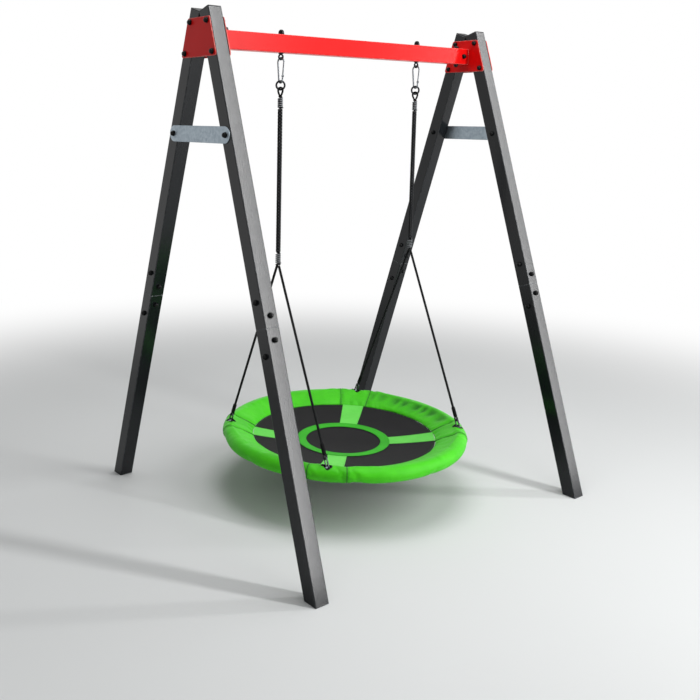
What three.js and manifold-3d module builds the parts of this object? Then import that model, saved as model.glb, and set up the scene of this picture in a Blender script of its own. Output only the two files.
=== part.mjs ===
// A free-standing nest swing: two A-frames of square steel tube, a crossbeam between apex plates, and a
// padded round seat on two ropes that each part in two. Millimetres, +X along the beam, +Z up, the origin
// on the ground in the middle.
import * as THREE from 'three';
import { mergeVertices } from 'three/addons/utils/BufferGeometryUtils.js';
import Module from 'manifold-3d';

const wasm = await Module();
wasm.setup();

// Overall size
const frameHeight = 2000;         // ground to the notch between two leg tops
const frameSpacing = 1480;        // between the middle planes of the two A-frames
const footSpread = 1418;          // over the outer edges of the two feet of one A-frame
const clearance = 0.3;            // between pieces that touch on the real swing
const cutOverrun = 20;            // how far a cutting solid passes the wall it cuts
const weldTolerance = 0.0001;     // points of a mesh this near are one
const wireSides = 6;              // of bent wire, steel or rope

// Legs
const legWidth = 60;
const legWall = 2;
const legCorner = 4;
const soleThickness = 4;          // welded plate that closes the foot
const notchGap = 0.6;             // between the two leg tops of one A-frame
const spliceAlong = 1176;         // down the leg from its top to the seam between upper and lower tube
const seamGap = 0.6;

// Splice sleeve inside each leg joint
const sleeveLength = 260;
const sleeveWall = 2;
const spliceBoltFar = 95;         // seam to the bolts that run along X
const spliceBoltNear = 43;        // seam to the bolts that run through the front and rear faces

// Plastic caps in the leg tops
const topCapInset = 2;            // cap edge inside the tube's edge
const topCapThickness = 4;
const topCapBevel = 1.5;
const topCapPlug = 14;

// Through bolts with domed caps
const boltRadius = 4;
const boltCapRadius = 11;
const boltCapHeight = 12.5;
const boltCapShoulderShares = [0.8, 0.72];   // of the cap's radius and height, where the dome turns
const boltSides = 8;
const holeSides = 6;

// Apex plates
const plateThickness = 3;
const plateTopDrop = 17;          // below the notch
const plateHeight = 143;
const plateLip = 2;               // plate edge beyond the leg's outer edge
const plateCorner = 9;
const plateCornerSteps = 3;
const plateBoltAlongs = [47, 165];            // down the leg
const plateBoltOutset = 12;       // outward from the leg's axis

// Crossbeam and the stubs it slides over
const beamHeight = 70;
const beamDepth = 50;
const beamWall = 2;
const beamCorner = 3;
const beamDrop = 92;              // notch to the beam's axis
const stubLength = 90;
const stubWall = 2;
const beamBoltAcrossInset = 34;   // inner plate to the bolt through the beam's front and rear
const beamBoltUprightInset = 56;  // inner plate to the bolt through its top and bottom

// Brace straps
const braceAlong = 474;           // down the leg to the strap's bolts
const braceWidth = 62;
const braceThickness = 3;
const braceEndReach = 26;         // bolt to the strap's end
const braceEndSteps = 5;

// Eyebolts
const hangSpacing = 770;          // between the two hang points
const eyeShankRadius = 5;
const eyeRadius = 10;             // middle of the wire
const eyeWireRadius = 3.5;
const eyeCollarRadius = 10;
const eyeCollarThickness = 3;
const eyeNutRadius = 13;
const eyeNutHeight = 20;
const eyeNutShoulderShares = [0.82, 0.66];
const eyeThreadProud = 12;        // shank above the beam
const eyeSteps = 14;

// Snap hooks
const hookLength = 104;
const hookWireRadius = 3.25;
const hookTopRadius = 18.5;       // middle of the wire
const hookBottomRadius = 11.5;
const gateRadius = 2.6;
const gateRootRadius = 1.8;       // between the hook's ears
const gateHingeShare = 0.2;       // up the straight side, from the bottom bend
const gateKnuckleRadius = 3.4;
const gateKnuckleWidth = 3.4;
const gatePinRadius = 1.2;
const gateTipGap = 0.5;
const gateEarRadius = 4.4;
const hookBendSteps = 8;

// Rings between hook and rope
const ringRadius = 16.8;
const ringWireRadius = 3.8;
const ringTurnDegrees = 28;       // about Z, out of square with the hook
const ringSteps = 18;

// Thick ropes
const ropeRadius = 10;
const ropeLoopWireRadius = 4;
const ropeLoopHeight = 37;
const ropeLoopHalfWidth = 15;
const ropeLoopNeck = 4.2;         // half the distance between the two strands where they meet
const ropeLoopWidthShares = [0.28, 0.62, 0.95, 0.86];
const ropeLoopHeightShares = [0.12, 0.34, 0.64, 0.88];
const ropeLoopSteps = 20;
const ropeCoreRadius = 4.5;
const ropeSides = 10;
const ropeGripLength = 578.5;     // of the thick stretch

// Whippings wound round the two ends of the thick rope
const whipWireRadius = 3.3;
const whipPitch = 7.6;
const whipTurns = 5;
const whipSteps = 14;             // in a turn
const collarRadius = 10.5;        // where the rope parts in two
const collarThickness = 5;

// Thin ropes from the parting to the seat
const strandRadius = 5.5;
const strandSpacing = 11.8;       // between the two ropes at the parting
const strandTopDrop = 2.8;        // parting collar to the middle of each rope's sloping end
const sleeveRadius = 8.2;
const sleeveRunLength = 46;
const strandEyeRadius = 8;
const strandEyeWireRadius = 3.5;
const strandEyeSteps = 10;
const strandSides = 8;

// Links between rope and seat
const linkLength = 46;            // middle of the wire, end to end
const linkBend = 8;
const linkWireRadius = 3;
const linkGap = 0.5;              // to the staple that it turns on
const linkBendSteps = 5;

// Seat
const seatRingRadius = 505;       // middle of the padded roll
const seatHeight = 250;           // ground to the middle of the roll
const seatTubeRadius = 14;
const seatTubeWall = 2;
const ventRadius = 3;
const stapleWireRadius = 3.5;
const stapleHalfWidth = 9.5;
const stapleRise = 11.5;          // tube top to the middle of the staple's bar
const coverRadius = 32;
const coverBoreGap = 0.6;
const coverRimRadius = 400;       // where the cover meets the mat
const coverRimDrop = 20;          // rim below the middle of the roll
const coverRimThickness = 7;
const coverSlopeRise = 2;         // inner slope, halfway from the roll to the rim, above the roll's middle
const coverSeamLength = 150;      // of each plain section around an attachment
const coverSeamShare = 0.94;      // of the roll's radius, where a seam draws it in
const coverCrownShare = 1.0;      // of the roll's radius between seams
const coverRollDegrees = [-120, -80, -40, 0, 35, 70, 105, 140];   // round the roll, 0 outward, 90 up
const slotWidth = 30;
const slotLength = 44;
const slotShift = 5;              // toward the middle, where the link leans
const matThickness = 3;
const matSag = 35;
const matRingShares = [0.35, 0.7];
const seatSides = 6;
const longArcSteps = 8;
const shortArcSteps = 6;

// Worked out from the sizes above
const halfSpread = footSpread / 2;
const edgeAngle = Math.atan2(frameHeight, halfSpread);
const legAngle = Math.acos(legWidth / Math.hypot(frameHeight, halfSpread)) - edgeAngle;
const legSin = Math.sin(legAngle);
const legCos = Math.cos(legAngle);
const beamZ = frameHeight - beamDrop;
const plateReach = legWidth / 2 + clearance + plateThickness;
const innerPlateX = frameSpacing / 2 - plateReach;
const beamHalfLength = innerPlateX - clearance;
const eyeZ = beamZ - beamHeight / 2 - clearance - eyeCollarThickness - eyeRadius - eyeWireRadius / 2;
const eyeBarZ = eyeZ - eyeRadius;
const hookTopZ = eyeBarZ + eyeWireRadius + clearance + hookWireRadius;
const hookBottomZ = hookTopZ - hookLength + 2 * hookWireRadius;
const ringTopZ = hookBottomZ + hookWireRadius + clearance + ringWireRadius;
const ringZ = ringTopZ - ringRadius;
const loopTopZ = ringZ - ringRadius + ringWireRadius + clearance + ropeLoopWireRadius;
const loopBottomZ = loopTopZ - ropeLoopHeight;
const whipLength = whipPitch * whipTurns;
const whipBandLength = whipLength + 2 * whipWireRadius + 2 * clearance;
const gripTopZ = loopBottomZ - whipBandLength;
const gripBottomZ = gripTopZ - ropeGripLength;
const collarTopZ = gripBottomZ - whipBandLength;
const collarBottomZ = collarTopZ - collarThickness;
const attachX = hangSpacing / 2;
const attachAngle = Math.acos(attachX / seatRingRadius);
const attachY = seatRingRadius * Math.sin(attachAngle);
const stapleZ = seatHeight + seatTubeRadius + stapleRise;
const linkSeat = stapleWireRadius + linkGap + linkWireRadius;
const strandTopZ = collarBottomZ - strandTopDrop;
const strandAngle = Math.atan2(attachY - strandSpacing / 2, strandTopZ - stapleZ);

const finish = (color, roughness, metalness) => new THREE.MeshStandardMaterial(
  { color, roughness, metalness });
const graphite = finish(0x4a4d50, 0.5, 0.4);
const signalRed = finish(0xd8201c, 0.45, 0.2);
const galvanised = finish(0x98a2aa, 0.4, 0.8);
const zinc = finish(0x7d8184, 0.35, 0.9);
const blackPlastic = finish(0x161718, 0.35, 0.0);
const blackRope = finish(0x1b1c1e, 0.85, 0.0);
const limeFabric = finish(0x58c822, 0.7, 0.0);
const blackMat = finish(0x322d32, 0.85, 0.0);

// Closed surface through rings of points. Each ring runs counter-clockwise as seen from the last ring.
function loft(rings, closed = false) {
  const count = rings[0].length;
  const positions = rings.flat().flatMap((point) => [point.x, point.y, point.z]);
  const index = [];
  const at = (ring, side) => (ring % rings.length) * count + (side % count);
  const bands = closed ? rings.length : rings.length - 1;
  for (let ring = 0; ring < bands; ring += 1) {
    for (let side = 0; side < count; side += 1) {
      index.push(at(ring, side), at(ring, side + 1), at(ring + 1, side));
      index.push(at(ring, side + 1), at(ring + 1, side + 1), at(ring + 1, side));
    }
  }
  if (!closed) {
    for (let side = 1; side < count - 1; side += 1) {
      index.push(at(0, 0), at(0, side + 1), at(0, side));
      index.push(at(rings.length - 1, 0), at(rings.length - 1, side), at(rings.length - 1, side + 1));
    }
  }
  const geometry = new THREE.BufferGeometry();
  geometry.setAttribute('position', new THREE.Float32BufferAttribute(positions, 3));
  geometry.setIndex(index);
  return geometry;
}

// Round tube along points; sideAt gives a direction square to the path, the same all along a flat path.
function sweep(points, sideAt, radius, sides, closed = false) {
  const last = points.length - 1;
  const radiusAt = typeof radius === 'function' ? radius : () => radius;
  const rings = points.map((point, i) => {
    const before = points[closed ? (i + last) % points.length : Math.max(i - 1, 0)];
    const after = points[closed ? (i + 1) % points.length : Math.min(i + 1, last)];
    const tangent = after.clone().sub(before).normalize();
    const side = sideAt(i);
    const lift = tangent.clone().cross(side);
    return Array.from({ length: sides }, (_, k) => {
      const angle = (2 * Math.PI * (k + 0.5)) / sides;
      const out = side.clone().multiplyScalar(Math.cos(angle)).addScaledVector(lift, Math.sin(angle));
      return point.clone().addScaledVector(out, radiusAt(i));
    });
  });
  return loft(rings, closed);
}

const vector = (x, y, z) => new THREE.Vector3(x, y, z);
const axisX = vector(1, 0, 0);
const axisY = vector(0, 1, 0);
const axisZ = vector(0, 0, 1);
const always = (direction) => () => direction;

function toSolid(geometry) {
  const bare = geometry.clone();
  bare.deleteAttribute('normal');
  bare.deleteAttribute('uv');
  const merged = mergeVertices(bare, weldTolerance);
  const vertProperties = new Float32Array(merged.attributes.position.array);
  const triVerts = new Uint32Array(merged.index.array);
  return new wasm.Manifold(new wasm.Mesh({ numProp: 3, vertProperties, triVerts }));
}

function fromSolid(solid) {
  const mesh = solid.getMesh();
  const geometry = new THREE.BufferGeometry();
  geometry.setAttribute('position', new THREE.Float32BufferAttribute(mesh.vertProperties, 3));
  geometry.setIndex(Array.from(mesh.triVerts));
  return geometry;
}

const joined = (...geometries) => fromSolid(geometries.map(toSolid).reduce((sum, next) => sum.add(next)));

function cut(geometry, tools) {
  const first = toSolid(geometry);
  return fromSolid(tools.map(toSolid).reduce((rest, tool) => rest.subtract(tool), first));
}

// Turned body about an axis through a point; the profile is [radius, height] pairs along that axis.
function turned(profile, axis, origin, sides = boltSides) {
  const geometry = new THREE.LatheGeometry(profile.map(([r, h]) => new THREE.Vector2(r, h)), sides);
  const turn = new THREE.Quaternion().setFromUnitVectors(axisY, axis);
  geometry.applyQuaternion(turn);
  return geometry.translate(origin.x, origin.y, origin.z);
}

const rod = (radius, halfLength, axis, origin, sides = boltSides) => turned(
  [[0, -halfLength], [radius, -halfLength], [radius, halfLength], [0, halfLength]], axis, origin, sides);

// Hole that a bolt passes with clearance on the flats of its facets.
const boltHole = (halfLength, axis, origin, radius = boltRadius) => rod(
  (radius + clearance) / Math.cos(Math.PI / holeSides), halfLength, axis, origin, holeSides);

// Through bolt with a domed cap at each end; the caps sit on a stack of the given half thickness.
function boltBody(halfStack, axis, origin) {
  const seat = halfStack + clearance;
  const [radiusShare, heightShare] = boltCapShoulderShares;
  const end = (sign) => [
    [0, sign * (seat + boltCapHeight)],
    [boltCapRadius * radiusShare, sign * (seat + boltCapHeight * heightShare)],
    [boltCapRadius, sign * seat],
    [boltRadius, sign * seat],
  ];
  return turned([...end(-1), ...end(1).reverse()], axis, origin);
}

// Closed outline with each corner rounded by a short curve.
function roundedShape(corners, radius) {
  const shape = new THREE.Shape();
  corners.forEach((corner, i) => {
    const before = corners[(i + corners.length - 1) % corners.length];
    const after = corners[(i + 1) % corners.length];
    const start = corner.clone().add(before.clone().sub(corner).setLength(radius));
    const end = corner.clone().add(after.clone().sub(corner).setLength(radius));
    if (i === 0) shape.moveTo(start.x, start.y);
    else shape.lineTo(start.x, start.y);
    shape.quadraticCurveTo(corner.x, corner.y, end.x, end.y);
  });
  return shape;
}

// Flat plate with its outline in the YZ plane, from one X to another.
function plateAcrossX(shape, fromX, thickness) {
  const settings = { depth: thickness, bevelEnabled: false, curveSegments: plateCornerSteps };
  const geometry = new THREE.ExtrudeGeometry(shape, settings);
  geometry.applyMatrix4(new THREE.Matrix4().makeBasis(axisY, axisZ, axisX));
  return geometry.translate(fromX, 0, 0);
}

const swing = new THREE.Group();
swing.name = 'swing_set';

function place(parent, name, geometry, material) {
  const mesh = new THREE.Mesh(geometry, material);
  mesh.name = name;
  parent.add(mesh);
  return mesh;
}

// The frame of one leg: its top is at local z = 0, its inner face at local y = 0, and it runs down local -z.
function legGroup(x, side) {
  const group = new THREE.Group();
  group.position.set(x, (side * notchGap) / 2, frameHeight);
  group.rotation.x = side * legAngle;
  swing.add(group);
  return group;
}

// Place in the YZ plane of a point on a leg, given along and across it from the top of its inner edge.
function onLeg(side, along, across) {
  const y = side * (notchGap / 2 + across * legCos + along * legSin);
  const z = frameHeight + across * legSin - along * legCos;
  return vector(0, y, z);
}

// Square ring with cut corners in a leg's frame; alongAt gives how far down the leg each point lies.
function legRing(side, half, corner, alongAt) {
  const near = half - corner;
  const square = [[half, -near], [half, near], [near, half], [-near, half]];
  const opposite = square.map(([x, y]) => [-x, -y]);
  return [...square, ...opposite].map(([x, y]) => {
    const localY = (side * legWidth) / 2 + y;
    return vector(x, localY, -alongAt(localY));
  });
}

const alongToHeight = (side, height) => (localY) => (
  (frameHeight - height + localY * Math.sin(side * legAngle)) / legCos);

const legPrism = (side, half, corner, bottomAt, topAt) => loft([
  legRing(side, half, corner, bottomAt), legRing(side, half, corner, topAt)]);

const legMiddle = (side, along) => vector(0, (side * legWidth) / 2, -along);

const throughLegX = (side, along, outset = 0) => boltHole(
  legWidth / 2 + cutOverrun, axisX, vector(0, side * (legWidth / 2 + outset), -along));

const throughLegY = (side, along) => boltHole(legWidth / 2 + cutOverrun, axisY, legMiddle(side, along));

function upperLeg(side) {
  const innerHalf = legWidth / 2 - legWall;
  const bottom = () => spliceAlong - seamGap / 2;
  const past = () => spliceAlong + cutOverrun;
  const tube = legPrism(side, legWidth / 2, legCorner, bottom, () => 0);
  const hollow = legPrism(side, innerHalf, legCorner - legWall, past, () => -cutOverrun);
  return cut(tube, [
    hollow,
    ...plateBoltAlongs.map((along) => throughLegX(side, along, plateBoltOutset)),
    throughLegX(side, braceAlong),
    throughLegX(side, spliceAlong - spliceBoltFar),
    throughLegY(side, spliceAlong - spliceBoltNear),
  ]);
}

function lowerLeg(side) {
  const innerHalf = legWidth / 2 - legWall;
  const top = () => spliceAlong + seamGap / 2;
  const past = () => spliceAlong - cutOverrun;
  const tube = legPrism(side, legWidth / 2, legCorner, alongToHeight(side, 0), top);
  const hollow = legPrism(side, innerHalf, legCorner - legWall, alongToHeight(side, soleThickness), past);
  return cut(tube, [
    hollow,
    throughLegY(side, spliceAlong + spliceBoltNear),
    throughLegX(side, spliceAlong + spliceBoltFar),
  ]);
}

function spliceSleeve(side) {
  const outerHalf = legWidth / 2 - legWall - clearance;
  const innerHalf = outerHalf - sleeveWall;
  const at = (offset) => () => spliceAlong + offset;
  const reach = sleeveLength / 2;
  const tube = legPrism(side, outerHalf, sleeveWall, at(reach), at(-reach));
  const hollow = legPrism(side, innerHalf, sleeveWall / 2, at(reach + cutOverrun), at(-reach - cutOverrun));
  const bolts = [-1, 1].flatMap((end) => [
    boltBody(legWidth / 2, axisX, legMiddle(side, spliceAlong + end * spliceBoltFar)),
    boltBody(legWidth / 2, axisY, legMiddle(side, spliceAlong + end * spliceBoltNear)),
  ]);
  return joined(cut(tube, [hollow]), ...bolts);
}

function legTopCap(side) {
  const plugHalf = legWidth / 2 - legWall - clearance;
  const edgeHalf = legWidth / 2 - topCapInset;
  const ring = (half, height) => legRing(side, half, legCorner - legWall, () => -height);
  return loft([
    ring(plugHalf, -topCapPlug),
    ring(plugHalf, clearance),
    ring(edgeHalf, clearance),
    ring(edgeHalf, clearance + topCapThickness - topCapBevel),
    ring(edgeHalf - topCapBevel, clearance + topCapThickness),
  ]);
}

// Apex plate outline: its sloping edges follow the outer edges of the legs.
function apexShape() {
  const topZ = frameHeight - plateTopDrop;
  const bottomZ = topZ - plateHeight;
  const halfAt = (z) => (frameHeight - z) * Math.tan(legAngle) + legWidth / legCos + plateLip;
  const corners = [
    new THREE.Vector2(halfAt(bottomZ), bottomZ),
    new THREE.Vector2(halfAt(topZ), topZ),
    new THREE.Vector2(-halfAt(topZ), topZ),
    new THREE.Vector2(-halfAt(bottomZ), bottomZ),
  ];
  return roundedShape(corners, plateCorner);
}

const plateBoltPlaces = [-1, 1].flatMap((side) => plateBoltAlongs.map(
  (along) => onLeg(side, along, legWidth / 2 + plateBoltOutset)));

const plateHolesAt = (x) => plateBoltPlaces.map((point) => boltHole(
  plateThickness + cutOverrun / 2, axisX, vector(x, point.y, point.z)));

// Outer plate of the A-frame on the given end of the beam, -1 or 1.
function outerPlate(end) {
  const nearX = end * (frameSpacing / 2 + legWidth / 2 + clearance);
  const fromX = end > 0 ? nearX : nearX - plateThickness;
  return cut(plateAcrossX(apexShape(), fromX, plateThickness), plateHolesAt(nearX));
}

// Box with cut corners along X, as a tube section is drawn.
function barAlongX(fromX, toX, halfDepth, halfHeight, corner, z) {
  const y = halfDepth - corner;
  const up = halfHeight - corner;
  const quarter = [[halfDepth, -up], [halfDepth, up], [y, halfHeight], [-y, halfHeight]];
  const section = [...quarter, ...quarter.map(([a, b]) => [-a, -b])];
  return loft([fromX, toX].map((x) => section.map(([a, b]) => vector(x, a, z + b))));
}

function innerPlate(end) {
  const farX = end * innerPlateX;
  const fromX = end > 0 ? farX : farX - plateThickness;
  const plate = cut(plateAcrossX(apexShape(), fromX, plateThickness), plateHolesAt(farX));
  const halfDepth = beamDepth / 2 - beamWall - clearance;
  const halfHeight = beamHeight / 2 - beamWall - clearance;
  const tipX = end * (innerPlateX - stubLength);
  const rootX = end * (innerPlateX + plateThickness / 2);
  const faceX = end * innerPlateX;
  const past = end * (innerPlateX - stubLength - cutOverrun);
  const ordered = (a, b) => [Math.min(a, b), Math.max(a, b)];
  const stub = barAlongX(...ordered(tipX, rootX), halfDepth, halfHeight, beamCorner - beamWall, beamZ);
  const hollow = barAlongX(
    ...ordered(past, faceX), halfDepth - stubWall, halfHeight - stubWall, stubWall / 2, beamZ);
  const acrossX = end * (innerPlateX - beamBoltAcrossInset);
  const uprightX = end * (innerPlateX - beamBoltUprightInset);
  return joined(
    plate,
    cut(stub, [hollow]),
    boltBody(beamDepth / 2, axisY, vector(acrossX, 0, beamZ)),
    boltBody(beamHeight / 2, axisZ, vector(uprightX, 0, beamZ)),
  );
}

function crossbeam() {
  const halfDepth = beamDepth / 2;
  const halfHeight = beamHeight / 2;
  const tube = barAlongX(-beamHalfLength, beamHalfLength, halfDepth, halfHeight, beamCorner, beamZ);
  const hollow = barAlongX(
    -beamHalfLength - cutOverrun, beamHalfLength + cutOverrun,
    halfDepth - beamWall, halfHeight - beamWall, beamCorner - beamWall, beamZ);
  const holes = [-1, 1].flatMap((end) => [
    boltHole(halfDepth + cutOverrun, axisY, vector(end * (innerPlateX - beamBoltAcrossInset), 0, beamZ)),
    boltHole(halfHeight + cutOverrun, axisZ, vector(end * (innerPlateX - beamBoltUprightInset), 0, beamZ)),
    boltHole(halfHeight + cutOverrun, axisZ, vector(end * attachX, 0, beamZ), eyeShankRadius),
  ]);
  return cut(tube, [hollow, ...holes]);
}

// Strap with round ends across the outer faces of one A-frame, with its two bolts.
function braceStrap(end) {
  const bolt = onLeg(1, braceAlong, legWidth / 2);
  const halfWidth = braceWidth / 2;
  const bend = bolt.y + braceEndReach - halfWidth;
  const shape = new THREE.Shape();
  shape.moveTo(-bend, bolt.z - halfWidth);
  shape.lineTo(bend, bolt.z - halfWidth);
  shape.absarc(bend, bolt.z, halfWidth, -Math.PI / 2, Math.PI / 2);
  shape.lineTo(-bend, bolt.z + halfWidth);
  shape.absarc(-bend, bolt.z, halfWidth, Math.PI / 2, (3 * Math.PI) / 2);
  const legFace = frameSpacing / 2 + legWidth / 2;
  const nearX = end * (legFace + clearance);
  const fromX = end > 0 ? nearX : nearX - braceThickness;
  const settings = { depth: braceThickness, bevelEnabled: false, curveSegments: braceEndSteps };
  const geometry = new THREE.ExtrudeGeometry(shape, settings);
  geometry.applyMatrix4(new THREE.Matrix4().makeBasis(axisY, axisZ, axisX));
  geometry.translate(fromX, 0, 0);
  const middleX = (end * (frameSpacing + clearance + braceThickness)) / 2;
  const halfStack = (legWidth + clearance + braceThickness) / 2;
  const bolts = [-1, 1].map((side) => boltBody(halfStack, axisX, vector(middleX, side * bolt.y, bolt.z)));
  return joined(geometry, ...bolts);
}

function plateBolt(end, point) {
  const halfStack = plateReach;
  return boltBody(halfStack, axisX, vector((end * frameSpacing) / 2, point.y, point.z));
}

// Ring of round wire with its hole facing Y.
function wireRing(radius, wireRadius, x, z, steps, turn = 0) {
  const across = axisX.clone().applyAxisAngle(axisZ, -turn);
  const points = Array.from({ length: steps }, (_, i) => {
    const angle = (2 * Math.PI * i) / steps;
    return vector(x, 0, z + radius * Math.sin(angle)).addScaledVector(across, radius * Math.cos(angle));
  });
  return sweep(points, always(axisY.clone().applyAxisAngle(axisZ, -turn)), wireRadius, wireSides, true);
}

function hangerRing(x) {
  const turn = THREE.MathUtils.degToRad(ringTurnDegrees);
  return wireRing(ringRadius, ringWireRadius, x, ringZ, ringSteps, turn);
}

function eyebolt(x) {
  const collarTop = beamZ - beamHeight / 2 - clearance;
  const threadTop = beamZ + beamHeight / 2 + eyeThreadProud;
  const shank = turned([
    [0, collarTop - eyeCollarThickness - eyeWireRadius / 2],
    [eyeCollarRadius / 2, collarTop - eyeCollarThickness - eyeWireRadius / 2],
    [eyeCollarRadius, collarTop - eyeCollarThickness],
    [eyeCollarRadius, collarTop],
    [eyeShankRadius, collarTop],
    [eyeShankRadius, threadTop],
    [0, threadTop],
  ], axisZ, vector(x, 0, 0));
  return joined(wireRing(eyeRadius, eyeWireRadius, x, eyeZ, eyeSteps), shank);
}

// Domed nut with a blind bore, on top of the beam.
function eyeNut(x) {
  const base = beamZ + beamHeight / 2 + clearance;
  const boreRadius = (eyeShankRadius + clearance) / Math.cos(Math.PI / boltSides);
  const boreTop = beamZ + beamHeight / 2 + eyeThreadProud + clearance;
  const [radiusShare, heightShare] = eyeNutShoulderShares;
  return turned([
    [0, boreTop],
    [boreRadius, boreTop],
    [boreRadius, base],
    [eyeNutRadius, base],
    [eyeNutRadius * radiusShare, base + eyeNutHeight * heightShare],
    [0, base + eyeNutHeight],
  ], axisZ, vector(x, 0, 0));
}

// Pear-shaped outline of a snap hook: a large bend on top, a small one below, straight sides between.
const hookTopCentre = hookTopZ - hookTopRadius;
const hookBottomCentre = hookBottomZ + hookBottomRadius;
const hookTilt = Math.asin((hookTopRadius - hookBottomRadius) / (hookTopCentre - hookBottomCentre));

const hookPoint = (centreZ, radius, angle) => [radius * Math.cos(angle), centreZ + radius * Math.sin(angle)];

const gateNose = hookPoint(hookTopCentre, hookTopRadius, Math.PI - hookTilt);
const gateFoot = hookPoint(hookBottomCentre, hookBottomRadius, Math.PI - hookTilt);
const gateHinge = gateFoot.map((value, i) => value + (gateNose[i] - value) * gateHingeShare);
const gateSpan = Math.hypot(gateNose[0] - gateHinge[0], gateNose[1] - gateHinge[1]);
const gateUp = vector(0, (gateNose[0] - gateHinge[0]) / gateSpan, (gateNose[1] - gateHinge[1]) / gateSpan);

function snapHook(x) {
  const arc = (centreZ, radius, from, to, steps) => Array.from({ length: steps + 1 }, (_, i) => (
    hookPoint(centreZ, radius, from + ((to - from) * i) / steps)));
  const flat = [
    ...arc(hookTopCentre, hookTopRadius, Math.PI - hookTilt, hookTilt, hookBendSteps),
    ...arc(hookBottomCentre, hookBottomRadius, hookTilt, -Math.PI - hookTilt, hookBendSteps),
  ];
  const [nose, ...rest] = flat.map(([y, z]) => vector(x, y, z));
  const points = [nose, nose.clone().addScaledVector(gateUp, hookWireRadius / 2), ...rest];
  const end = vector(x, gateHinge[0], gateHinge[1]).addScaledVector(gateUp, -gateKnuckleRadius - gateTipGap);
  points.push(end);
  const hinge = vector(x, gateHinge[0], gateHinge[1]);
  const earWidth = hookWireRadius - gateKnuckleWidth / 2 - clearance;
  const earOffset = gateKnuckleWidth / 2 + clearance + earWidth / 2;
  const ears = [-1, 1].map((sign) => rod(
    gateEarRadius, earWidth / 2, axisX, hinge.clone().addScaledVector(axisX, sign * earOffset)));
  const pin = rod(gatePinRadius, hookWireRadius - earWidth / 2, axisX, hinge);
  return joined(sweep(points, always(axisX), hookWireRadius, wireSides), ...ears, pin);
}

function hookGate(x) {
  const hinge = vector(x, gateHinge[0], gateHinge[1]);
  const tip = hinge.clone().addScaledVector(gateUp, gateSpan - gateTipGap);
  const clearOfEars = gateEarRadius + clearance;
  const stations = [gateKnuckleRadius / 2, clearOfEars, clearOfEars + gateRadius - gateRootRadius];
  const points = [...stations.map((along) => hinge.clone().addScaledVector(gateUp, along)), tip];
  const radii = [gateRootRadius, gateRootRadius, gateRadius, gateRadius];
  const bar = sweep(points, always(axisX), (i) => radii[i], boltSides);
  const knuckle = rod(gateKnuckleRadius, gateKnuckleWidth / 2, axisX, hinge);
  return cut(joined(bar, knuckle), [boltHole(gateKnuckleWidth, axisX, hinge, gatePinRadius)]);
}

// Spliced loop through the ring, the neck inside the whipping, the thick stretch, and the collar below.
function thickRope(x) {
  const rise = loopTopZ - loopBottomZ;
  const left = ropeLoopWidthShares.map((share, i) => vector(
    x, -Math.max(ropeLoopHalfWidth * share, ropeLoopNeck), loopBottomZ + rise * ropeLoopHeightShares[i]));
  const right = left.map((point) => vector(x, -point.y, point.z)).reverse();
  const strandEnd = (side) => vector(x, side * ropeLoopNeck, loopBottomZ);
  const control = [strandEnd(-1), ...left, vector(x, 0, loopTopZ), ...right, strandEnd(1)];
  const path = new THREE.CatmullRomCurve3(control, false, 'centripetal');
  const loop = sweep(path.getPoints(ropeLoopSteps), always(axisX), ropeLoopWireRadius, wireSides);
  const body = turned([
    [0, collarBottomZ],
    [collarRadius, collarBottomZ],
    [collarRadius, collarTopZ],
    [ropeCoreRadius, collarTopZ],
    [ropeCoreRadius, gripBottomZ],
    [ropeRadius, gripBottomZ],
    [ropeRadius, gripTopZ],
    [ropeCoreRadius, gripTopZ],
    [ropeCoreRadius, loopBottomZ],
    [ropeLoopNeck * 2, loopBottomZ],
    [ropeLoopNeck * 2, loopBottomZ + ropeLoopWireRadius / 2],
    [0, loopBottomZ + ropeLoopWireRadius],
  ], axisZ, vector(x, 0, 0), ropeSides);
  return joined(loop, body);
}

const whipRadius = ropeCoreRadius + clearance + whipWireRadius;

// Middle line of a whipping: a helix whose two ends run straight for one wire diameter.
function whipPath(x, bottomZ) {
  const start = bottomZ + clearance + whipWireRadius;
  const count = whipTurns * whipSteps;
  const helix = Array.from({ length: count + 1 }, (_, i) => {
    const angle = (2 * Math.PI * i) / whipSteps;
    const z = start + (whipLength * i) / count;
    return vector(x + whipRadius * Math.cos(angle), whipRadius * Math.sin(angle), z);
  });
  const tail = (end) => {
    const angle = end < 0 ? 0 : 2 * Math.PI * whipTurns;
    const along = vector(-Math.sin(angle), Math.cos(angle), 0).multiplyScalar(end * 2 * whipWireRadius);
    return (end < 0 ? helix[0] : helix[count]).clone().add(along);
  };
  return [tail(-1), ...helix, tail(1)];
}

function whipping(x, bottomZ) {
  const points = whipPath(x, bottomZ);
  const last = points.length - 1;
  const sideAt = (i) => {
    const turn = Math.min(Math.max(i, 1), last - 1);
    return vector(points[turn].x - x, points[turn].y, 0).normalize();
  };
  return sweep(points, sideAt, whipWireRadius, wireSides);
}

// Least distance between a winding's surfaces, over points at least half a turn apart.
function leastGap(points) {
  let least = Infinity;
  for (let i = 0; i < points.length; i += 1) {
    for (let j = i + whipSteps / 2; j < points.length; j += 1) {
      least = Math.min(least, points[i].distanceTo(points[j]));
    }
  }
  return least - 2 * whipWireRadius;
}

// Frame of the link and thin rope at one attachment: up the rope, and square to it in the YZ plane.
function strandFrame(x, side) {
  const up = vector(0, -side * Math.sin(strandAngle), Math.cos(strandAngle));
  const foot = vector(x, side * attachY, stapleZ).addScaledVector(up, -linkSeat);
  return { foot, up, over: axisX.clone().cross(up) };
}

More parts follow.
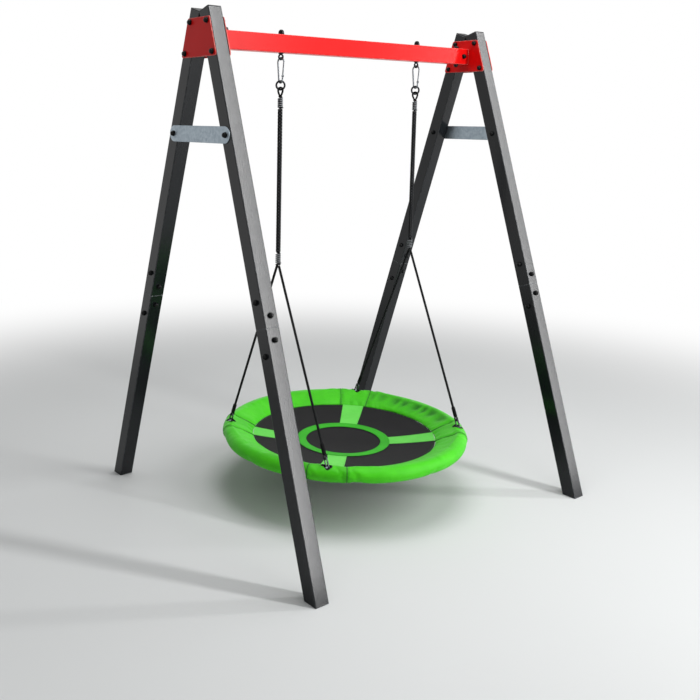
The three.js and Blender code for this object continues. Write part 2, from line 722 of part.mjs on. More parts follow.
function thinRope(x, side) {
  const { foot, up, over } = strandFrame(x, side);
  const eyeCentre = linkLength - linkWireRadius - clearance - strandEyeWireRadius + strandEyeRadius;
  const centre = foot.clone().addScaledVector(up, eyeCentre);
  const eye = sweep(Array.from({ length: strandEyeSteps }, (_, i) => {
    const angle = (2 * Math.PI * i) / strandEyeSteps;
    return centre.clone()
      .addScaledVector(axisX, strandEyeRadius * Math.cos(angle))
      .addScaledVector(up, strandEyeRadius * Math.sin(angle));
  }), always(over), strandEyeWireRadius, wireSides, true);
  const sleeveStart = eyeCentre + strandEyeRadius;
  const sleeveEnd = sleeveStart + sleeveRunLength;
  const top = vector(x, (side * strandSpacing) / 2, strandTopZ).sub(foot).dot(up);
  const taper = strandEyeWireRadius;
  const stations = [sleeveStart, sleeveStart + taper, sleeveEnd - taper, sleeveEnd, top];
  const radii = [strandEyeWireRadius, sleeveRadius, sleeveRadius, strandRadius, strandRadius];
  const points = stations.map((along) => foot.clone().addScaledVector(up, along));
  return joined(eye, sweep(points, always(axisX), (i) => radii[i], strandSides));
}

function steelLink(x, side) {
  const { foot, up, over } = strandFrame(x, side);
  const bend = (centreAlong, from) => Array.from({ length: linkBendSteps + 1 }, (_, i) => {
    const angle = from + (Math.PI * i) / linkBendSteps;
    return foot.clone()
      .addScaledVector(over, linkBend * Math.cos(angle))
      .addScaledVector(up, centreAlong + linkBend * Math.sin(angle));
  });
  const points = [...bend(linkLength - linkBend, 0), ...bend(linkBend, Math.PI)];
  return sweep(points, always(axisX), linkWireRadius, wireSides, true);
}

// Angles round the seat: a seam on each side of every attachment, and even steps between.
function seatAngles() {
  const half = coverSeamLength / 2 / seatRingRadius;
  const attachments = [attachAngle, Math.PI - attachAngle, Math.PI + attachAngle, 2 * Math.PI - attachAngle];
  return attachments.flatMap((angle, i) => {
    const next = i < 3 ? attachments[i + 1] : attachments[0] + 2 * Math.PI;
    const steps = i % 2 === 0 ? longArcSteps : shortArcSteps;
    const from = angle + half;
    const span = next - half - from;
    const between = Array.from({ length: steps - 1 }, (_, k) => ({ angle: from + (span * (k + 1)) / steps }));
    return [{ angle: angle - half, seam: true }, { angle }, { angle: from, seam: true }, ...between];
  });
}

const seatStations = seatAngles();

// Ring of points across the seat's roll; each [outward, up] pair is measured from the middle of the roll.
const acrossSeat = (angle, pairs) => pairs.map(([outward, up]) => {
  const radius = seatRingRadius + outward;
  return vector(radius * Math.cos(angle), radius * Math.sin(angle), seatHeight + up);
});

const circlePairs = (radius, sides) => Array.from({ length: sides }, (_, k) => {
  const angle = (-2 * Math.PI * (k + 0.5)) / sides;
  return [radius * Math.cos(angle), radius * Math.sin(angle)];
});

const seatTorus = (radius, sides) => loft(
  seatStations.map(({ angle }) => acrossSeat(angle, circlePairs(radius, sides))), true);

const attachments = [-1, 1].flatMap((end) => [-1, 1].map((side) => ({ end, side })));

// U-shaped staple welded on the seat ring, its bar along X.
function staple(end, side) {
  const spot = (dx, z) => vector(end * attachX + dx, side * attachY, z);
  const corner = stapleWireRadius;
  const foot = seatHeight + seatTubeRadius / 2;
  const points = [
    spot(-stapleHalfWidth, foot),
    spot(-stapleHalfWidth, stapleZ - corner),
    spot(-stapleHalfWidth + corner, stapleZ),
    spot(stapleHalfWidth - corner, stapleZ),
    spot(stapleHalfWidth, stapleZ - corner),
    spot(stapleHalfWidth, foot),
  ];
  return sweep(points, always(axisY), stapleWireRadius, wireSides);
}

function seatRing() {
  const staples = attachments.map(({ end, side }) => staple(end, side));
  const ventPlace = vector(seatRingRadius, 0, seatHeight - seatTubeRadius);
  const vent = rod(ventRadius, seatTubeRadius, axisZ, ventPlace, holeSides);
  const hollow = seatTorus(seatTubeRadius - seatTubeWall, seatSides);
  return cut(joined(seatTorus(seatTubeRadius, seatSides), ...staples), [hollow, vent]);
}

// Section of the padded cover: a full roll outside, tapering to the rim that holds the mat.
function coverSection(seam) {
  const radius = coverRadius * (seam ? coverSeamShare : coverCrownShare);
  const roll = coverRollDegrees.map((deg) => {
    const angle = THREE.MathUtils.degToRad(deg);
    return [radius * Math.cos(angle), radius * Math.sin(angle)];
  });
  const rim = coverRimRadius - seatRingRadius;
  const topLip = -coverRimDrop + coverRimThickness / 2;
  const underLip = topLip - coverRimThickness;
  const tail = [[(rim - radius) / 2, coverSlopeRise], [rim, topLip], [rim, underLip]];
  return [...roll, ...tail].reverse();
}

const slotHole = (end, side) => {
  const along = slotLength / 2;
  const across = slotWidth / 2;
  const middleY = side * (attachY - slotShift);
  const corners = [[across, -along], [across, along], [-across, along], [-across, -along]];
  const ring = (z) => corners.map(([dx, dy]) => vector(end * attachX + dx, middleY + dy, z));
  return loft([ring(seatHeight), ring(seatHeight + coverRadius + cutOverrun)]);
};

function paddedCover() {
  const outer = loft(seatStations.map(({ angle, seam }) => acrossSeat(angle, coverSection(seam))), true);
  const bore = seatTorus(seatTubeRadius + coverBoreGap, seatSides);
  return cut(outer, [bore, ...attachments.map(({ end, side }) => slotHole(end, side))]);
}

// Mat: a shallow dish whose edge meets the rim of the cover all round.
function mat() {
  const edge = coverRimRadius - clearance;
  const edgeZ = seatHeight - coverRimDrop;
  const ring = (radius, z) => seatStations.map(({ angle }) => vector(
    radius * Math.cos(angle), radius * Math.sin(angle), z));
  const dipAt = (share) => matSag * (1 - share * share);
  const inner = matRingShares.map((share) => [edge * share, edgeZ - dipAt(share)]);
  const under = [...inner, [edge, edgeZ]].map(([r, z]) => ring(r, z - matThickness / 2));
  const top = [...inner, [edge, edgeZ]].map(([r, z]) => ring(r, z + matThickness / 2)).reverse();
  return loft([...under, ...top]);
}

const endNames = [[-1, 'left'], [1, 'right']];
const sideNames = [[-1, 'front'], [1, 'rear']];

for (const [end, endName] of endNames) {
  for (const [side, sideName] of sideNames) {
    const leg = legGroup((end * frameSpacing) / 2, side);
    place(leg, `upper_leg_${endName}_${sideName}`, upperLeg(side), graphite);
    place(leg, `lower_leg_${endName}_${sideName}`, lowerLeg(side), graphite);
    place(leg, `splice_sleeve_${endName}_${sideName}`, spliceSleeve(side), blackPlastic);
    place(leg, `leg_top_cap_${endName}_${sideName}`, legTopCap(side), blackPlastic);
  }
  place(swing, `outer_plate_${endName}`, outerPlate(end), signalRed);
  place(swing, `inner_plate_${endName}`, innerPlate(end), signalRed);
  place(swing, `brace_strap_${endName}`, braceStrap(end), galvanised);
  plateBoltPlaces.forEach((point, i) => {
    place(swing, `plate_bolt_${endName}_${i + 1}`, plateBolt(end, point), blackPlastic);
  });
}
place(swing, 'crossbeam', crossbeam(), signalRed);

for (const [end, endName] of endNames) {
  const x = end * attachX;
  place(swing, `eyebolt_${endName}`, eyebolt(x), blackPlastic);
  place(swing, `eyebolt_nut_${endName}`, eyeNut(x), blackPlastic);
  place(swing, `snap_hook_${endName}`, snapHook(x), zinc);
  place(swing, `hook_gate_${endName}`, hookGate(x), zinc);
  place(swing, `hanger_ring_${endName}`, hangerRing(x), blackPlastic);
  place(swing, `thick_rope_${endName}`, thickRope(x), blackRope);
  place(swing, `upper_whipping_${endName}`, whipping(x, gripTopZ), blackRope);
  place(swing, `lower_whipping_${endName}`, whipping(x, collarTopZ), blackRope);
  for (const [side, sideName] of sideNames) {
    place(swing, `thin_rope_${endName}_${sideName}`, thinRope(x, side), blackRope);
    place(swing, `seat_link_${endName}_${sideName}`, steelLink(x, side), zinc);
  }
}
place(swing, 'seat_ring', seatRing(), galvanised);
place(swing, 'padded_cover', paddedCover(), limeFabric);
place(swing, 'seat_mat', mat(), blackMat);

console.log('least gap in a whipping, mm:', leastGap(whipPath(0, 0)).toFixed(2));

export default swing;
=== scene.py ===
# Nest swing set: powder coated steel frame, braided ropes and a round padded seat, built on its CAD frame.
# Metres throughout; +X runs along the beam, +Y to the rear and +Z up.
import math

import bpy
import numpy as np
from mathutils import Matrix, Quaternion, Vector
from mathutils.bvhtree import BVHTree


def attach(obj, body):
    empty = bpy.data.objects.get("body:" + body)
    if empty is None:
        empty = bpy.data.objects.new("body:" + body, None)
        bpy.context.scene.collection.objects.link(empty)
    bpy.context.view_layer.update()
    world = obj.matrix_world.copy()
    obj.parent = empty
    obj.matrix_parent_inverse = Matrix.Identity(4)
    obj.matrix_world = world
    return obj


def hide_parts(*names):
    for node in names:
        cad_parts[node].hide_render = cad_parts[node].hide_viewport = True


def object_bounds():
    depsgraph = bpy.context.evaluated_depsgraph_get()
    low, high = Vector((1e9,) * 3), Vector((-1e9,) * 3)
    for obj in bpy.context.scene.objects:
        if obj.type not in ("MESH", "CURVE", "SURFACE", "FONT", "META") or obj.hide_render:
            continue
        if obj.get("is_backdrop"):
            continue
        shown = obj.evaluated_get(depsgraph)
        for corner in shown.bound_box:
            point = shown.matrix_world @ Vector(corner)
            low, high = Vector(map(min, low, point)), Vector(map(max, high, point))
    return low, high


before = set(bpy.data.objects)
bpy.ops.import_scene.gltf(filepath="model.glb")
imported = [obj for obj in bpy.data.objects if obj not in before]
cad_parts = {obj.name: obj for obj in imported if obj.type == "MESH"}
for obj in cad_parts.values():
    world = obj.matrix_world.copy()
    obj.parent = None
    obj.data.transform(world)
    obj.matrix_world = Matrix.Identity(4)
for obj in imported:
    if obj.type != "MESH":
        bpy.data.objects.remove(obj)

cadBox = [list(corner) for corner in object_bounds()]
scene = bpy.context.scene
mm = 0.001
print("CAD frame loaded")

# Camera: close to the photograph's angle, with the lens moved aside by 0.15 of the picture each way
photoCamera = {
    "place": (-2.585, -2.7525, 1.6184),
    "yaw": 0.636,                     # turned toward +X from +Y, in radians
    "pitch": 0.1435,                  # looks down
    "roll": 0.0085,
    "lens": 0.8775 / 0.7 * 36,        # 877.5 pixels of focal length on a picture of 700, in mm of sensor
    "sensor": 36,
    "shift": (0.15, -0.15),
}


def makeCamera(settings):
    yaw, pitch, roll = settings["yaw"], settings["pitch"], settings["roll"]
    ahead = Vector((math.sin(yaw) * math.cos(pitch), math.cos(yaw) * math.cos(pitch), -math.sin(pitch)))
    right = Vector((math.cos(yaw), -math.sin(yaw), 0))
    up = right.cross(ahead)
    rolledRight = math.cos(roll) * right + math.sin(roll) * up
    rolledUp = -math.sin(roll) * right + math.cos(roll) * up
    data = bpy.data.cameras.new("photoCamera")
    data.lens, data.sensor_width = settings["lens"], settings["sensor"]
    data.shift_x, data.shift_y = settings["shift"]
    camera = bpy.data.objects.new("photoCamera", data)
    turn = Matrix((rolledRight, rolledUp, -ahead)).transposed().to_4x4()
    camera.matrix_world = Matrix.Translation(settings["place"]) @ turn
    scene.collection.objects.link(camera)
    scene.camera = camera


makeCamera(photoCamera)
scene.view_settings.view_transform = "Standard"

# Mesh helpers


def unit(vectors):
    return vectors / np.linalg.norm(vectors, axis=-1, keepdims=True)


def gridPart(points, rowPlaces, columnPlaces, closedRows=False, closedColumns=True, capped=True, material=0,
             edge=None):
    # rows x columns of points joined by quads
    rows, columns = points.shape[:2]
    faces, places = [], []
    for r in range(rows if closedRows else rows - 1):
        for c in range(columns if closedColumns else columns - 1):
            nextRow, nextColumn = (r + 1) % rows, (c + 1) % columns
            faces.append((r * columns + c, r * columns + nextColumn, nextRow * columns + nextColumn,
                          nextRow * columns + c))
            low, high, near, far = columnPlaces[c], columnPlaces[c + 1], rowPlaces[r], rowPlaces[r + 1]
            places += [(low, near), (high, near), (high, far), (low, far)]
    if capped and not closedRows:
        faces.append(tuple(range(columns))[::-1])
        faces.append(tuple((rows - 1) * columns + c for c in range(columns)))
        places += [(0, 0)] * (2 * columns)
    wearAndPaintedLightShare = np.zeros(rows * columns) if edge is None else np.asarray(edge, float).reshape(-1)
    return {"points": points.reshape(-1, 3), "faces": faces, "places": places, "material": material,
            "edge": wearAndPaintedLightShare}


def tubePart(path, radius, sides, across, closed=False, relief=None, material=0):
    # round tube along a path; across is a direction square to it
    path = np.array(path, float)
    ahead = np.roll(path, -1, 0) - np.roll(path, 1, 0) if closed else np.gradient(path, axis=0)
    along = unit(ahead)
    across = np.broadcast_to(np.array(across, float), path.shape)
    across = unit(across - (across * along).sum(1, keepdims=True) * along)
    lift = np.cross(along, across)
    turn = np.arange(sides) * 2 * math.pi / sides
    loop = np.vstack([path, path[:1]]) if closed else path
    travelled = np.concatenate([[0], np.cumsum(np.linalg.norm(np.diff(loop, axis=0), axis=1))])
    radii = np.broadcast_to(np.array(radius, float), (len(path),))[:, None] * np.ones(sides)
    if relief:
        radii = radii + relief(turn[None, :], travelled[:len(path), None])
    out = across[:, None] * np.cos(turn)[None, :, None] + lift[:, None] * np.sin(turn)[None, :, None]
    points = path[:, None] + out * radii[:, :, None]
    around = np.arange(sides + 1) / sides * 2 * math.pi * float(radii.max())
    return gridPart(points, travelled, around, closedRows=closed, material=material)


def turnedPart(profile, origin, axis, sides):
    # turned body; the profile is (radius, height) along the axis
    axis = unit(np.array(axis, float))
    helper = np.array([0, 0, 1.0]) if abs(axis[2]) < 0.9 else np.array([1.0, 0, 0])
    across = unit(np.cross(helper, axis))
    lift = np.cross(axis, across)
    turn = np.arange(sides) * 2 * math.pi / sides
    profile = np.array(profile, float)
    out = across[None] * np.cos(turn)[:, None] + lift[None] * np.sin(turn)[:, None]
    along, radius = profile[:, 1][:, None, None], profile[:, 0][:, None, None]
    points = np.array(origin)[None, None] + along * axis + radius * out
    rowPlaces = np.concatenate([[0], np.cumsum(np.linalg.norm(np.diff(profile, axis=0), axis=1))])
    around = np.arange(sides + 1) / sides * 2 * math.pi * profile[:, 0].max()
    return gridPart(points, rowPlaces, around)


def buildPiece(name, parts, materials, body, replaced=(), sharpAngle=50, placed=True):
    # one object from mesh parts, riding on its body
    points = np.vstack([part["points"] for part in parts])
    faces, places, indices, start = [], [], [], 0
    for part in parts:
        faces += [tuple(start + i for i in face) for face in part["faces"]]
        places += part["places"]
        indices += [part["material"]] * len(part["faces"])
        start += len(part["points"])
    mesh = bpy.data.meshes.new(name)
    mesh.from_pydata(points.tolist(), [], faces)
    layer = mesh.uv_layers.new(name="cloth")
    layer.data.foreach_set("uv", np.array(places, np.float32).ravel())
    # per point: edge wear, painted highlight on red edges and whip crowns, and painted shade in the cover's
    # folds and seams
    wearAndPaintedLight = mesh.attributes.new("wearAndPaintedLight", "FLOAT", "POINT")
    wearAndPaintedLight.data.foreach_set("value", np.concatenate([part["edge"] for part in parts]).astype(np.float32))
    mesh.polygons.foreach_set("material_index", indices)
    for material in materials:
        mesh.materials.append(material)
    mesh.update()
    mesh.shade_smooth()
    if sharpAngle:
        mesh.set_sharp_from_angle(angle=math.radians(sharpAngle))
    piece = bpy.data.objects.new(name, mesh)
    scene.collection.objects.link(piece)
    return dress(piece, body, replaced) if placed else piece


def dress(piece, body, replaced=()):
    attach(piece, body)
    if replaced:
        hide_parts(*replaced)
    return piece


def roundedOutline(corners, radius, steps, support=0.5 * mm):
    # closed outline through rounded corners, in order; a point past each bend keeps the flats flat
    corners = [np.array(corner, float) for corner in corners]
    outline = []
    for i, corner in enumerate(corners):
        before, after = unit(corners[i - 1] - corner), unit(corners[(i + 1) % len(corners)] - corner)
        half = math.acos(float(np.clip(before @ after, -1, 1))) / 2
        centre = corner + unit(before + after) * radius / math.sin(half)
        start, end = corner + before * radius / math.tan(half), corner + after * radius / math.tan(half)
        first, last = [math.atan2(*(p - centre)[::-1]) for p in (start, end)]
        sweep = (last - first + math.pi) % (2 * math.pi) - math.pi
        turns = first + sweep * np.arange(steps + 1) / steps
        bend = centre + radius * np.stack([np.cos(turns), np.sin(turns)], axis=1)
        outline += [start + before * support, *bend, end + after * support]
    return np.array(outline)


def cornerWearAndHighlight(cornerCount, steps):
    # share of edge wear and painted edge highlight: 1 at the middle of each rounded corner and 0 at its ends
    return np.tile(np.concatenate([[0], 1 - np.abs(np.linspace(-1, 1, steps + 1)), [0]]), cornerCount)


def insetOutline(outline, by):
    ahead = unit(np.roll(outline, -1, 0) - np.roll(outline, 1, 0))
    inward = np.stack([-ahead[:, 1], ahead[:, 0]], axis=1)
    middle = outline.mean(0)
    sign = np.sign(((middle - outline) * inward).sum())
    return outline + sign * by * inward


def smoothPath(controls, steps):
    # centripetal Catmull-Rom curve
    controls = np.array(controls, float)
    count = len(controls)
    pick = (lambda i: controls[i] if 0 <= i < count else 2 * controls[np.clip(i, 0, count - 1)]
            - controls[np.clip(2 * np.clip(i, 0, count - 1) - i, 0, count - 1)])
    out = []
    for i in range(count - 1):
        p = [pick(i + k) for k in (-1, 0, 1, 2)]
        t = [0.0]
        for k in range(3):
            t.append(t[-1] + max(float(np.linalg.norm(p[k + 1] - p[k])), 1e-6) ** 0.5)
        for u in np.linspace(t[1], t[2], steps, endpoint=False):
            between = lambda low, high, first, last: ((t[high] - u) / (t[high] - t[low]) * first
                                                      + (u - t[low]) / (t[high] - t[low]) * last)
            a = [between(k, k + 1, p[k], p[k + 1]) for k in range(3)]
            b = [between(k, k + 2, a[k], a[k + 1]) for k in range(2)]
            out.append(between(1, 2, b[0], b[1]))
    out.append(controls[-1])
    return np.array(out)


# Materials


def toLinear(hexColour):
    parts = [int(hexColour[i:i + 2], 16) / 255 for i in (1, 3, 5)]
    return [p / 12.92 if p <= 0.04045 else ((p + 0.055) / 1.055) ** 2.4 for p in parts] + [1]


def addNode(tree, kind, values=None, links=None, **settings):
    node = tree.nodes.new("ShaderNode" + kind)
    for key, value in settings.items():
        setattr(node, key, value)
    for socket, value in (values or {}).items():
        node.inputs[socket].default_value = value
    for socket, source in (links or {}).items():        # a node stands for its first output
        tree.links.new(getattr(source, "outputs", [source])[0], node.inputs[socket])
    return node


def startMaterial(name, shaderValues):
    material = bpy.data.materials.new(name)
    material.use_nodes = True
    shader = material.node_tree.nodes["Principled BSDF"]
    for socket, value in shaderValues.items():
        shader.inputs[socket].default_value = value
    return material, material.node_tree, shader


def powderCoatedSteel(name, colour, wornAndHighlightColour, roughness, grain, specular, rolled=0):
    # polyester powder coat: satin film with fine orange peel, scuffed pale along the tube's corners, partly a
    # painted edge highlight
    material, tree, shader = startMaterial(name, {"Roughness": roughness, "Specular IOR Level": specular})
    place = addNode(tree, "TexCoord").outputs["Object"]
    cloud = addNode(tree, "TexNoise", {"Scale": 9, "Detail": 4, "Roughness": 0.6}, {"Vector": place})
    shade = addNode(tree, "MapRange", {"To Min": 0.93, "To Max": 1.06}, {"Value": cloud.outputs["Fac"]})
    # lines along the tube from its rolling, which show through the film, drawn some millimetres apart
    wrap = addNode(tree, "UVMap", uv_map="cloth")
    stretched = addNode(tree, "Mapping", {"Scale": (1 / (7 * mm), 1 / (450 * mm), 1)},
                        {"Vector": wrap.outputs["UV"]})
    lines = addNode(tree, "TexNoise", {"Scale": 1, "Detail": 3, "Roughness": 0.6}, {"Vector": stretched})
    lined = addNode(tree, "MapRange",
                    {"From Min": 0.3, "From Max": 0.7, "To Min": 1 - rolled, "To Max": 1 + rolled},
                    {"Value": lines.outputs["Fac"]})
    shade = addNode(tree, "Math", None, {0: shade, 1: lined}, operation="MULTIPLY")
    tone = addNode(tree, "HueSaturation", {"Color": toLinear(colour)}, {"Value": shade})
    wearAndPaintedLight = addNode(tree, "Attribute", attribute_name="wearAndPaintedLight")
    scuff = addNode(tree, "TexNoise", {"Scale": 60, "Detail": 6, "Roughness": 0.7}, {"Vector": place})
    wearAndHighlight = addNode(tree, "Math", None, {0: wearAndPaintedLight.outputs["Fac"], 1: scuff.outputs["Fac"]},
                     operation="MULTIPLY")
    wearAndHighlight = addNode(tree, "MapRange", {"From Min": 0.3, "From Max": 0.58, "To Max": 0.75}, {"Value": wearAndHighlight})
    # pale along the edges: edge wear, and with a bright pale colour also a painted highlight of the edges
    # catching the lamps
    colourMix = addNode(tree, "Mix", {7: toLinear(wornAndHighlightColour)},
                        {0: wearAndHighlight, 6: tone.outputs["Color"]}, data_type="RGBA")
    tree.links.new(colourMix.outputs[2], shader.inputs["Base Color"])
    handled = addNode(tree, "TexNoise", {"Scale": 22, "Detail": 5, "Roughness": 0.65}, {"Vector": place})
    rough = addNode(tree, "MapRange", {"To Min": roughness - 0.02, "To Max": roughness + 0.03},
                    {"Value": handled.outputs["Fac"]})
    rough = addNode(tree, "Math", None, {0: rough, 1: lined}, operation="MULTIPLY")
    tree.links.new(rough.outputs[0], shader.inputs["Roughness"])
    # grain of the film, a cell of it every few millimetres so that it shows
    peel = addNode(tree, "TexNoise", {"Scale": 1 / (grain * mm), "Detail": 2}, {"Vector": place})
    bump = addNode(tree, "Bump", {"Strength": 0.1, "Distance": 0.3 * mm}, {"Height": peel.outputs["Fac"]})
    tree.links.new(bump.outputs["Normal"], shader.inputs["Normal"])
    return material


def zincedSteel(name, colour, darkColour, roughness, cell, bumpDepth):
    # zinc on steel: metal with a faint crystal pattern and duller, darker patches
    material, tree, shader = startMaterial(name, {"Metallic": 1, "Roughness": roughness})
    place = addNode(tree, "TexCoord").outputs["Object"]
    crystal = addNode(tree, "TexVoronoi", {"Scale": 1 / (cell * mm)}, {"Vector": place})
    grey = addNode(tree, "RGBToBW", None, {"Color": crystal.outputs["Color"]})
    patch = addNode(tree, "TexNoise", {"Scale": 35, "Detail": 5, "Roughness": 0.65}, {"Vector": place})
    share = addNode(tree, "Math", {1: 0.5}, {0: grey}, operation="MULTIPLY")
    share = addNode(tree, "Math", None, {0: share, 1: patch.outputs["Fac"]}, operation="ADD")
    share = addNode(tree, "MapRange", {"From Min": 0.45, "From Max": 1.1, "To Max": 0.8}, {"Value": share})
    colourMix = addNode(tree, "Mix", {6: toLinear(colour), 7: toLinear(darkColour)},
                        {0: share}, data_type="RGBA")
    tree.links.new(colourMix.outputs[2], shader.inputs["Base Color"])
    rough = addNode(tree, "MapRange", {"To Min": roughness - 0.06, "To Max": roughness + 0.16},
                    {"Value": share})
    tree.links.new(rough.outputs[0], shader.inputs["Roughness"])
    bump = addNode(tree, "Bump", {"Strength": 0.15, "Distance": bumpDepth * mm},
                   {"Height": patch.outputs["Fac"]})
    tree.links.new(bump.outputs["Normal"], shader.inputs["Normal"])
    return material


def mouldedPlastic(name, colour, roughness, specular):
    # moulded polyethylene: deep black with a soft gloss, slightly uneven where it cooled
    material, tree, shader = startMaterial(name, {"Roughness": roughness, "IOR": 1.51,
                                            "Specular IOR Level": specular})
    place = addNode(tree, "TexCoord").outputs["Object"]
    cloud = addNode(tree, "TexNoise", {"Scale": 70, "Detail": 3}, {"Vector": place})
    shade = addNode(tree, "MapRange", {"To Min": 0.8, "To Max": 1.35}, {"Value": cloud.outputs["Fac"]})
    tone = addNode(tree, "HueSaturation", {"Color": toLinear(colour)}, {"Value": shade})
    tree.links.new(tone.outputs["Color"], shader.inputs["Base Color"])
    rough = addNode(tree, "MapRange", {"To Min": roughness - 0.05, "To Max": roughness + 0.12},
                    {"Value": cloud.outputs["Fac"]})
    tree.links.new(rough.outputs[0], shader.inputs["Roughness"])
    fine = addNode(tree, "TexNoise", {"Scale": 900, "Detail": 2}, {"Vector": place})
    bump = addNode(tree, "Bump", {"Strength": 0.1, "Distance": 0.1 * mm}, {"Height": fine.outputs["Fac"]})
    tree.links.new(bump.outputs["Normal"], shader.inputs["Normal"])
    return material


def braidedRope(name, colour, crownHighlightColour, diameter, carriers, lay):
    # braided polypropylene: crossing strands of fine filament, black, with a painted highlight on their crowns
    material, tree, shader = startMaterial(name, {"Roughness": 0.65, "Specular IOR Level": 0.08})
    wrap = addNode(tree, "UVMap", uv_map="cloth")
    apart = addNode(tree, "SeparateXYZ", None, {"Vector": wrap.outputs["UV"]})
    turns = addNode(tree, "Math", {1: carriers / 2 / (math.pi * diameter * mm)}, {0: apart.outputs["X"]},
                    operation="MULTIPLY")
    rise = addNode(tree, "Math", {1: carriers / 2 / (lay * mm)}, {0: apart.outputs["Y"]},
                   operation="MULTIPLY")
    crossing = []
    for sense in ("ADD", "SUBTRACT"):
        crossing.append(addNode(tree, "Math", None, {0: turns, 1: rise}, operation=sense))
    cells = [addNode(tree, "Math", None, {0: c}, operation="FLOOR") for c in crossing]
    parity = addNode(tree, "Math", None, {0: cells[0], 1: cells[1]}, operation="ADD")
    parity = addNode(tree, "Math", {1: 2}, {0: parity}, operation="FLOORED_MODULO")
    filaments = []
    for c in crossing:                # seven filaments to a strand, coarser than real so that they show
        wave = addNode(tree, "Math", {1: 2 * math.pi * 7}, {0: c}, operation="MULTIPLY")
        filaments.append(addNode(tree, "Math", None, {0: wave}, operation="SINE"))
    fine = addNode(tree, "Mix", None, {0: parity, 2: filaments[0], 3: filaments[1]})
    place = addNode(tree, "TexCoord").outputs["Object"]
    dust = addNode(tree, "TexNoise", {"Scale": 45, "Detail": 5, "Roughness": 0.7}, {"Vector": place})
    rises = []
    for c in crossing:                # each strand's height over its own width
        half = addNode(tree, "Math", {1: math.pi}, {0: c}, operation="MULTIPLY")
        half = addNode(tree, "Math", None, {0: half}, operation="SINE")
        rises.append(addNode(tree, "Math", None, {0: half}, operation="ABSOLUTE"))
    # painted highlight: each strand's crown is mixed toward the pale colour, the gaps stay black
    crownHighlight = addNode(tree, "Math", None, {0: rises[0], 1: rises[1]}, operation="MULTIPLY")
    crownHighlight = addNode(tree, "MapRange", {"From Min": 0.7, "From Max": 0.98}, {"Value": crownHighlight})
    streak = addNode(tree, "MapRange", {"From Min": -1, "From Max": 1, "To Min": 0.6, "To Max": 1.2},
                     {"Value": fine})
    dusty = addNode(tree, "MapRange", {"From Min": 0.3, "From Max": 0.7, "To Min": 0.5, "To Max": 1.1},
                    {"Value": dust.outputs["Fac"]})
    tint = addNode(tree, "Math", None, {0: crownHighlight, 1: streak}, operation="MULTIPLY")
    tint = addNode(tree, "Math", None, {0: tint, 1: dusty}, operation="MULTIPLY", use_clamp=True)
    wearAndHighlight = addNode(tree, "Attribute", attribute_name="wearAndPaintedLight")
    tint = addNode(tree, "Math", None, {0: tint, 1: wearAndHighlight.outputs["Fac"]}, operation="MAXIMUM")
    colourMix = addNode(tree, "Mix", {6: toLinear(colour), 7: toLinear(crownHighlightColour)},
                        {0: tint}, data_type="RGBA")
    tree.links.new(colourMix.outputs[2], shader.inputs["Base Color"])
    bump = addNode(tree, "Bump", {"Strength": 0.5, "Distance": 0.25 * mm}, {"Height": fine})
    tree.links.new(bump.outputs["Normal"], shader.inputs["Normal"])
    return material


def wovenCloth(name, colour, shadeColour, roughness, thread, sheen, depth, specular=0.2, fromUv=True,
               puckered=0, foldShadeColour=None):
    # plain weave: raised crossings of warp and weft, with slow changes of tone over the cloth
    material, tree, shader = startMaterial(name, {"Roughness": roughness, "Sheen Weight": sheen,
                                                  "Sheen Roughness": 0.45, "Specular IOR Level": specular})
    place = addNode(tree, "TexCoord").outputs["Object"]
    surface = addNode(tree, "UVMap", uv_map="cloth").outputs["UV"] if fromUv else place
    apart = addNode(tree, "SeparateXYZ", None, {"Vector": surface})
    threads = []
    for axis in ("X", "Y"):
        wave = addNode(tree, "Math", {1: math.pi / (thread * mm)}, {0: apart.outputs[axis]},
                       operation="MULTIPLY")
        wave = addNode(tree, "Math", None, {0: wave}, operation="SINE")
        threads.append(addNode(tree, "Math", None, {0: wave}, operation="ABSOLUTE"))
    checks = addNode(tree, "TexChecker", {"Scale": 1 / (thread * mm)}, {"Vector": surface})
    weave = addNode(tree, "Mix", None, {0: checks.outputs["Fac"], 2: threads[0], 3: threads[1]})
    cloud = addNode(tree, "TexNoise", {"Scale": 11, "Detail": 5, "Roughness": 0.6}, {"Vector": place})
    grain = addNode(tree, "Math", {1: 0.2}, {0: weave}, operation="MULTIPLY")
    tint = addNode(tree, "Math", None, {0: cloud.outputs["Fac"], 1: grain}, operation="SUBTRACT")
    tint = addNode(tree, "MapRange", {"From Min": 0.15, "From Max": 0.75}, {"Value": tint})
    colourMix = addNode(tree, "Mix", {6: toLinear(colour), 7: toLinear(shadeColour)},
                        {0: tint}, data_type="RGBA")
    near = addNode(tree, "Attribute", attribute_name="wearAndPaintedLight")
    # painted shade: down in a fold or against a seam the cloth is painted deeper in colour
    foldShaded = addNode(tree, "Mix", {7: toLinear(foldShadeColour or shadeColour)},
                     {0: near.outputs["Fac"], 6: colourMix.outputs[2]}, data_type="RGBA")
    tree.links.new(foldShaded.outputs[2], shader.inputs["Base Color"])
    bump = addNode(tree, "Bump", {"Strength": 0.35, "Distance": depth * mm}, {"Height": weave})
    if puckered:                      # small creases that a seam draws into the cloth beside it
        crease = addNode(tree, "TexNoise", {"Scale": 55, "Detail": 3, "Distortion": 0.6}, {"Vector": place})
        drawn = addNode(tree, "Math", None, {0: near.outputs["Fac"], 1: crease.outputs["Fac"]},
                        operation="MULTIPLY")
        slack = addNode(tree, "TexNoise", {"Scale": 16, "Detail": 3, "Distortion": 0.8}, {"Vector": place})
        soft = addNode(tree, "Bump", {"Strength": 0.5, "Distance": puckered * mm},
                       {"Height": slack.outputs["Fac"]})
        tight = addNode(tree, "Bump", {"Strength": 0.7, "Distance": 5 * mm},
                        {"Height": drawn, "Normal": soft.outputs["Normal"]})
        tree.links.new(tight.outputs["Normal"], bump.inputs["Normal"])
    tree.links.new(bump.outputs["Normal"], shader.inputs["Normal"])
    return material


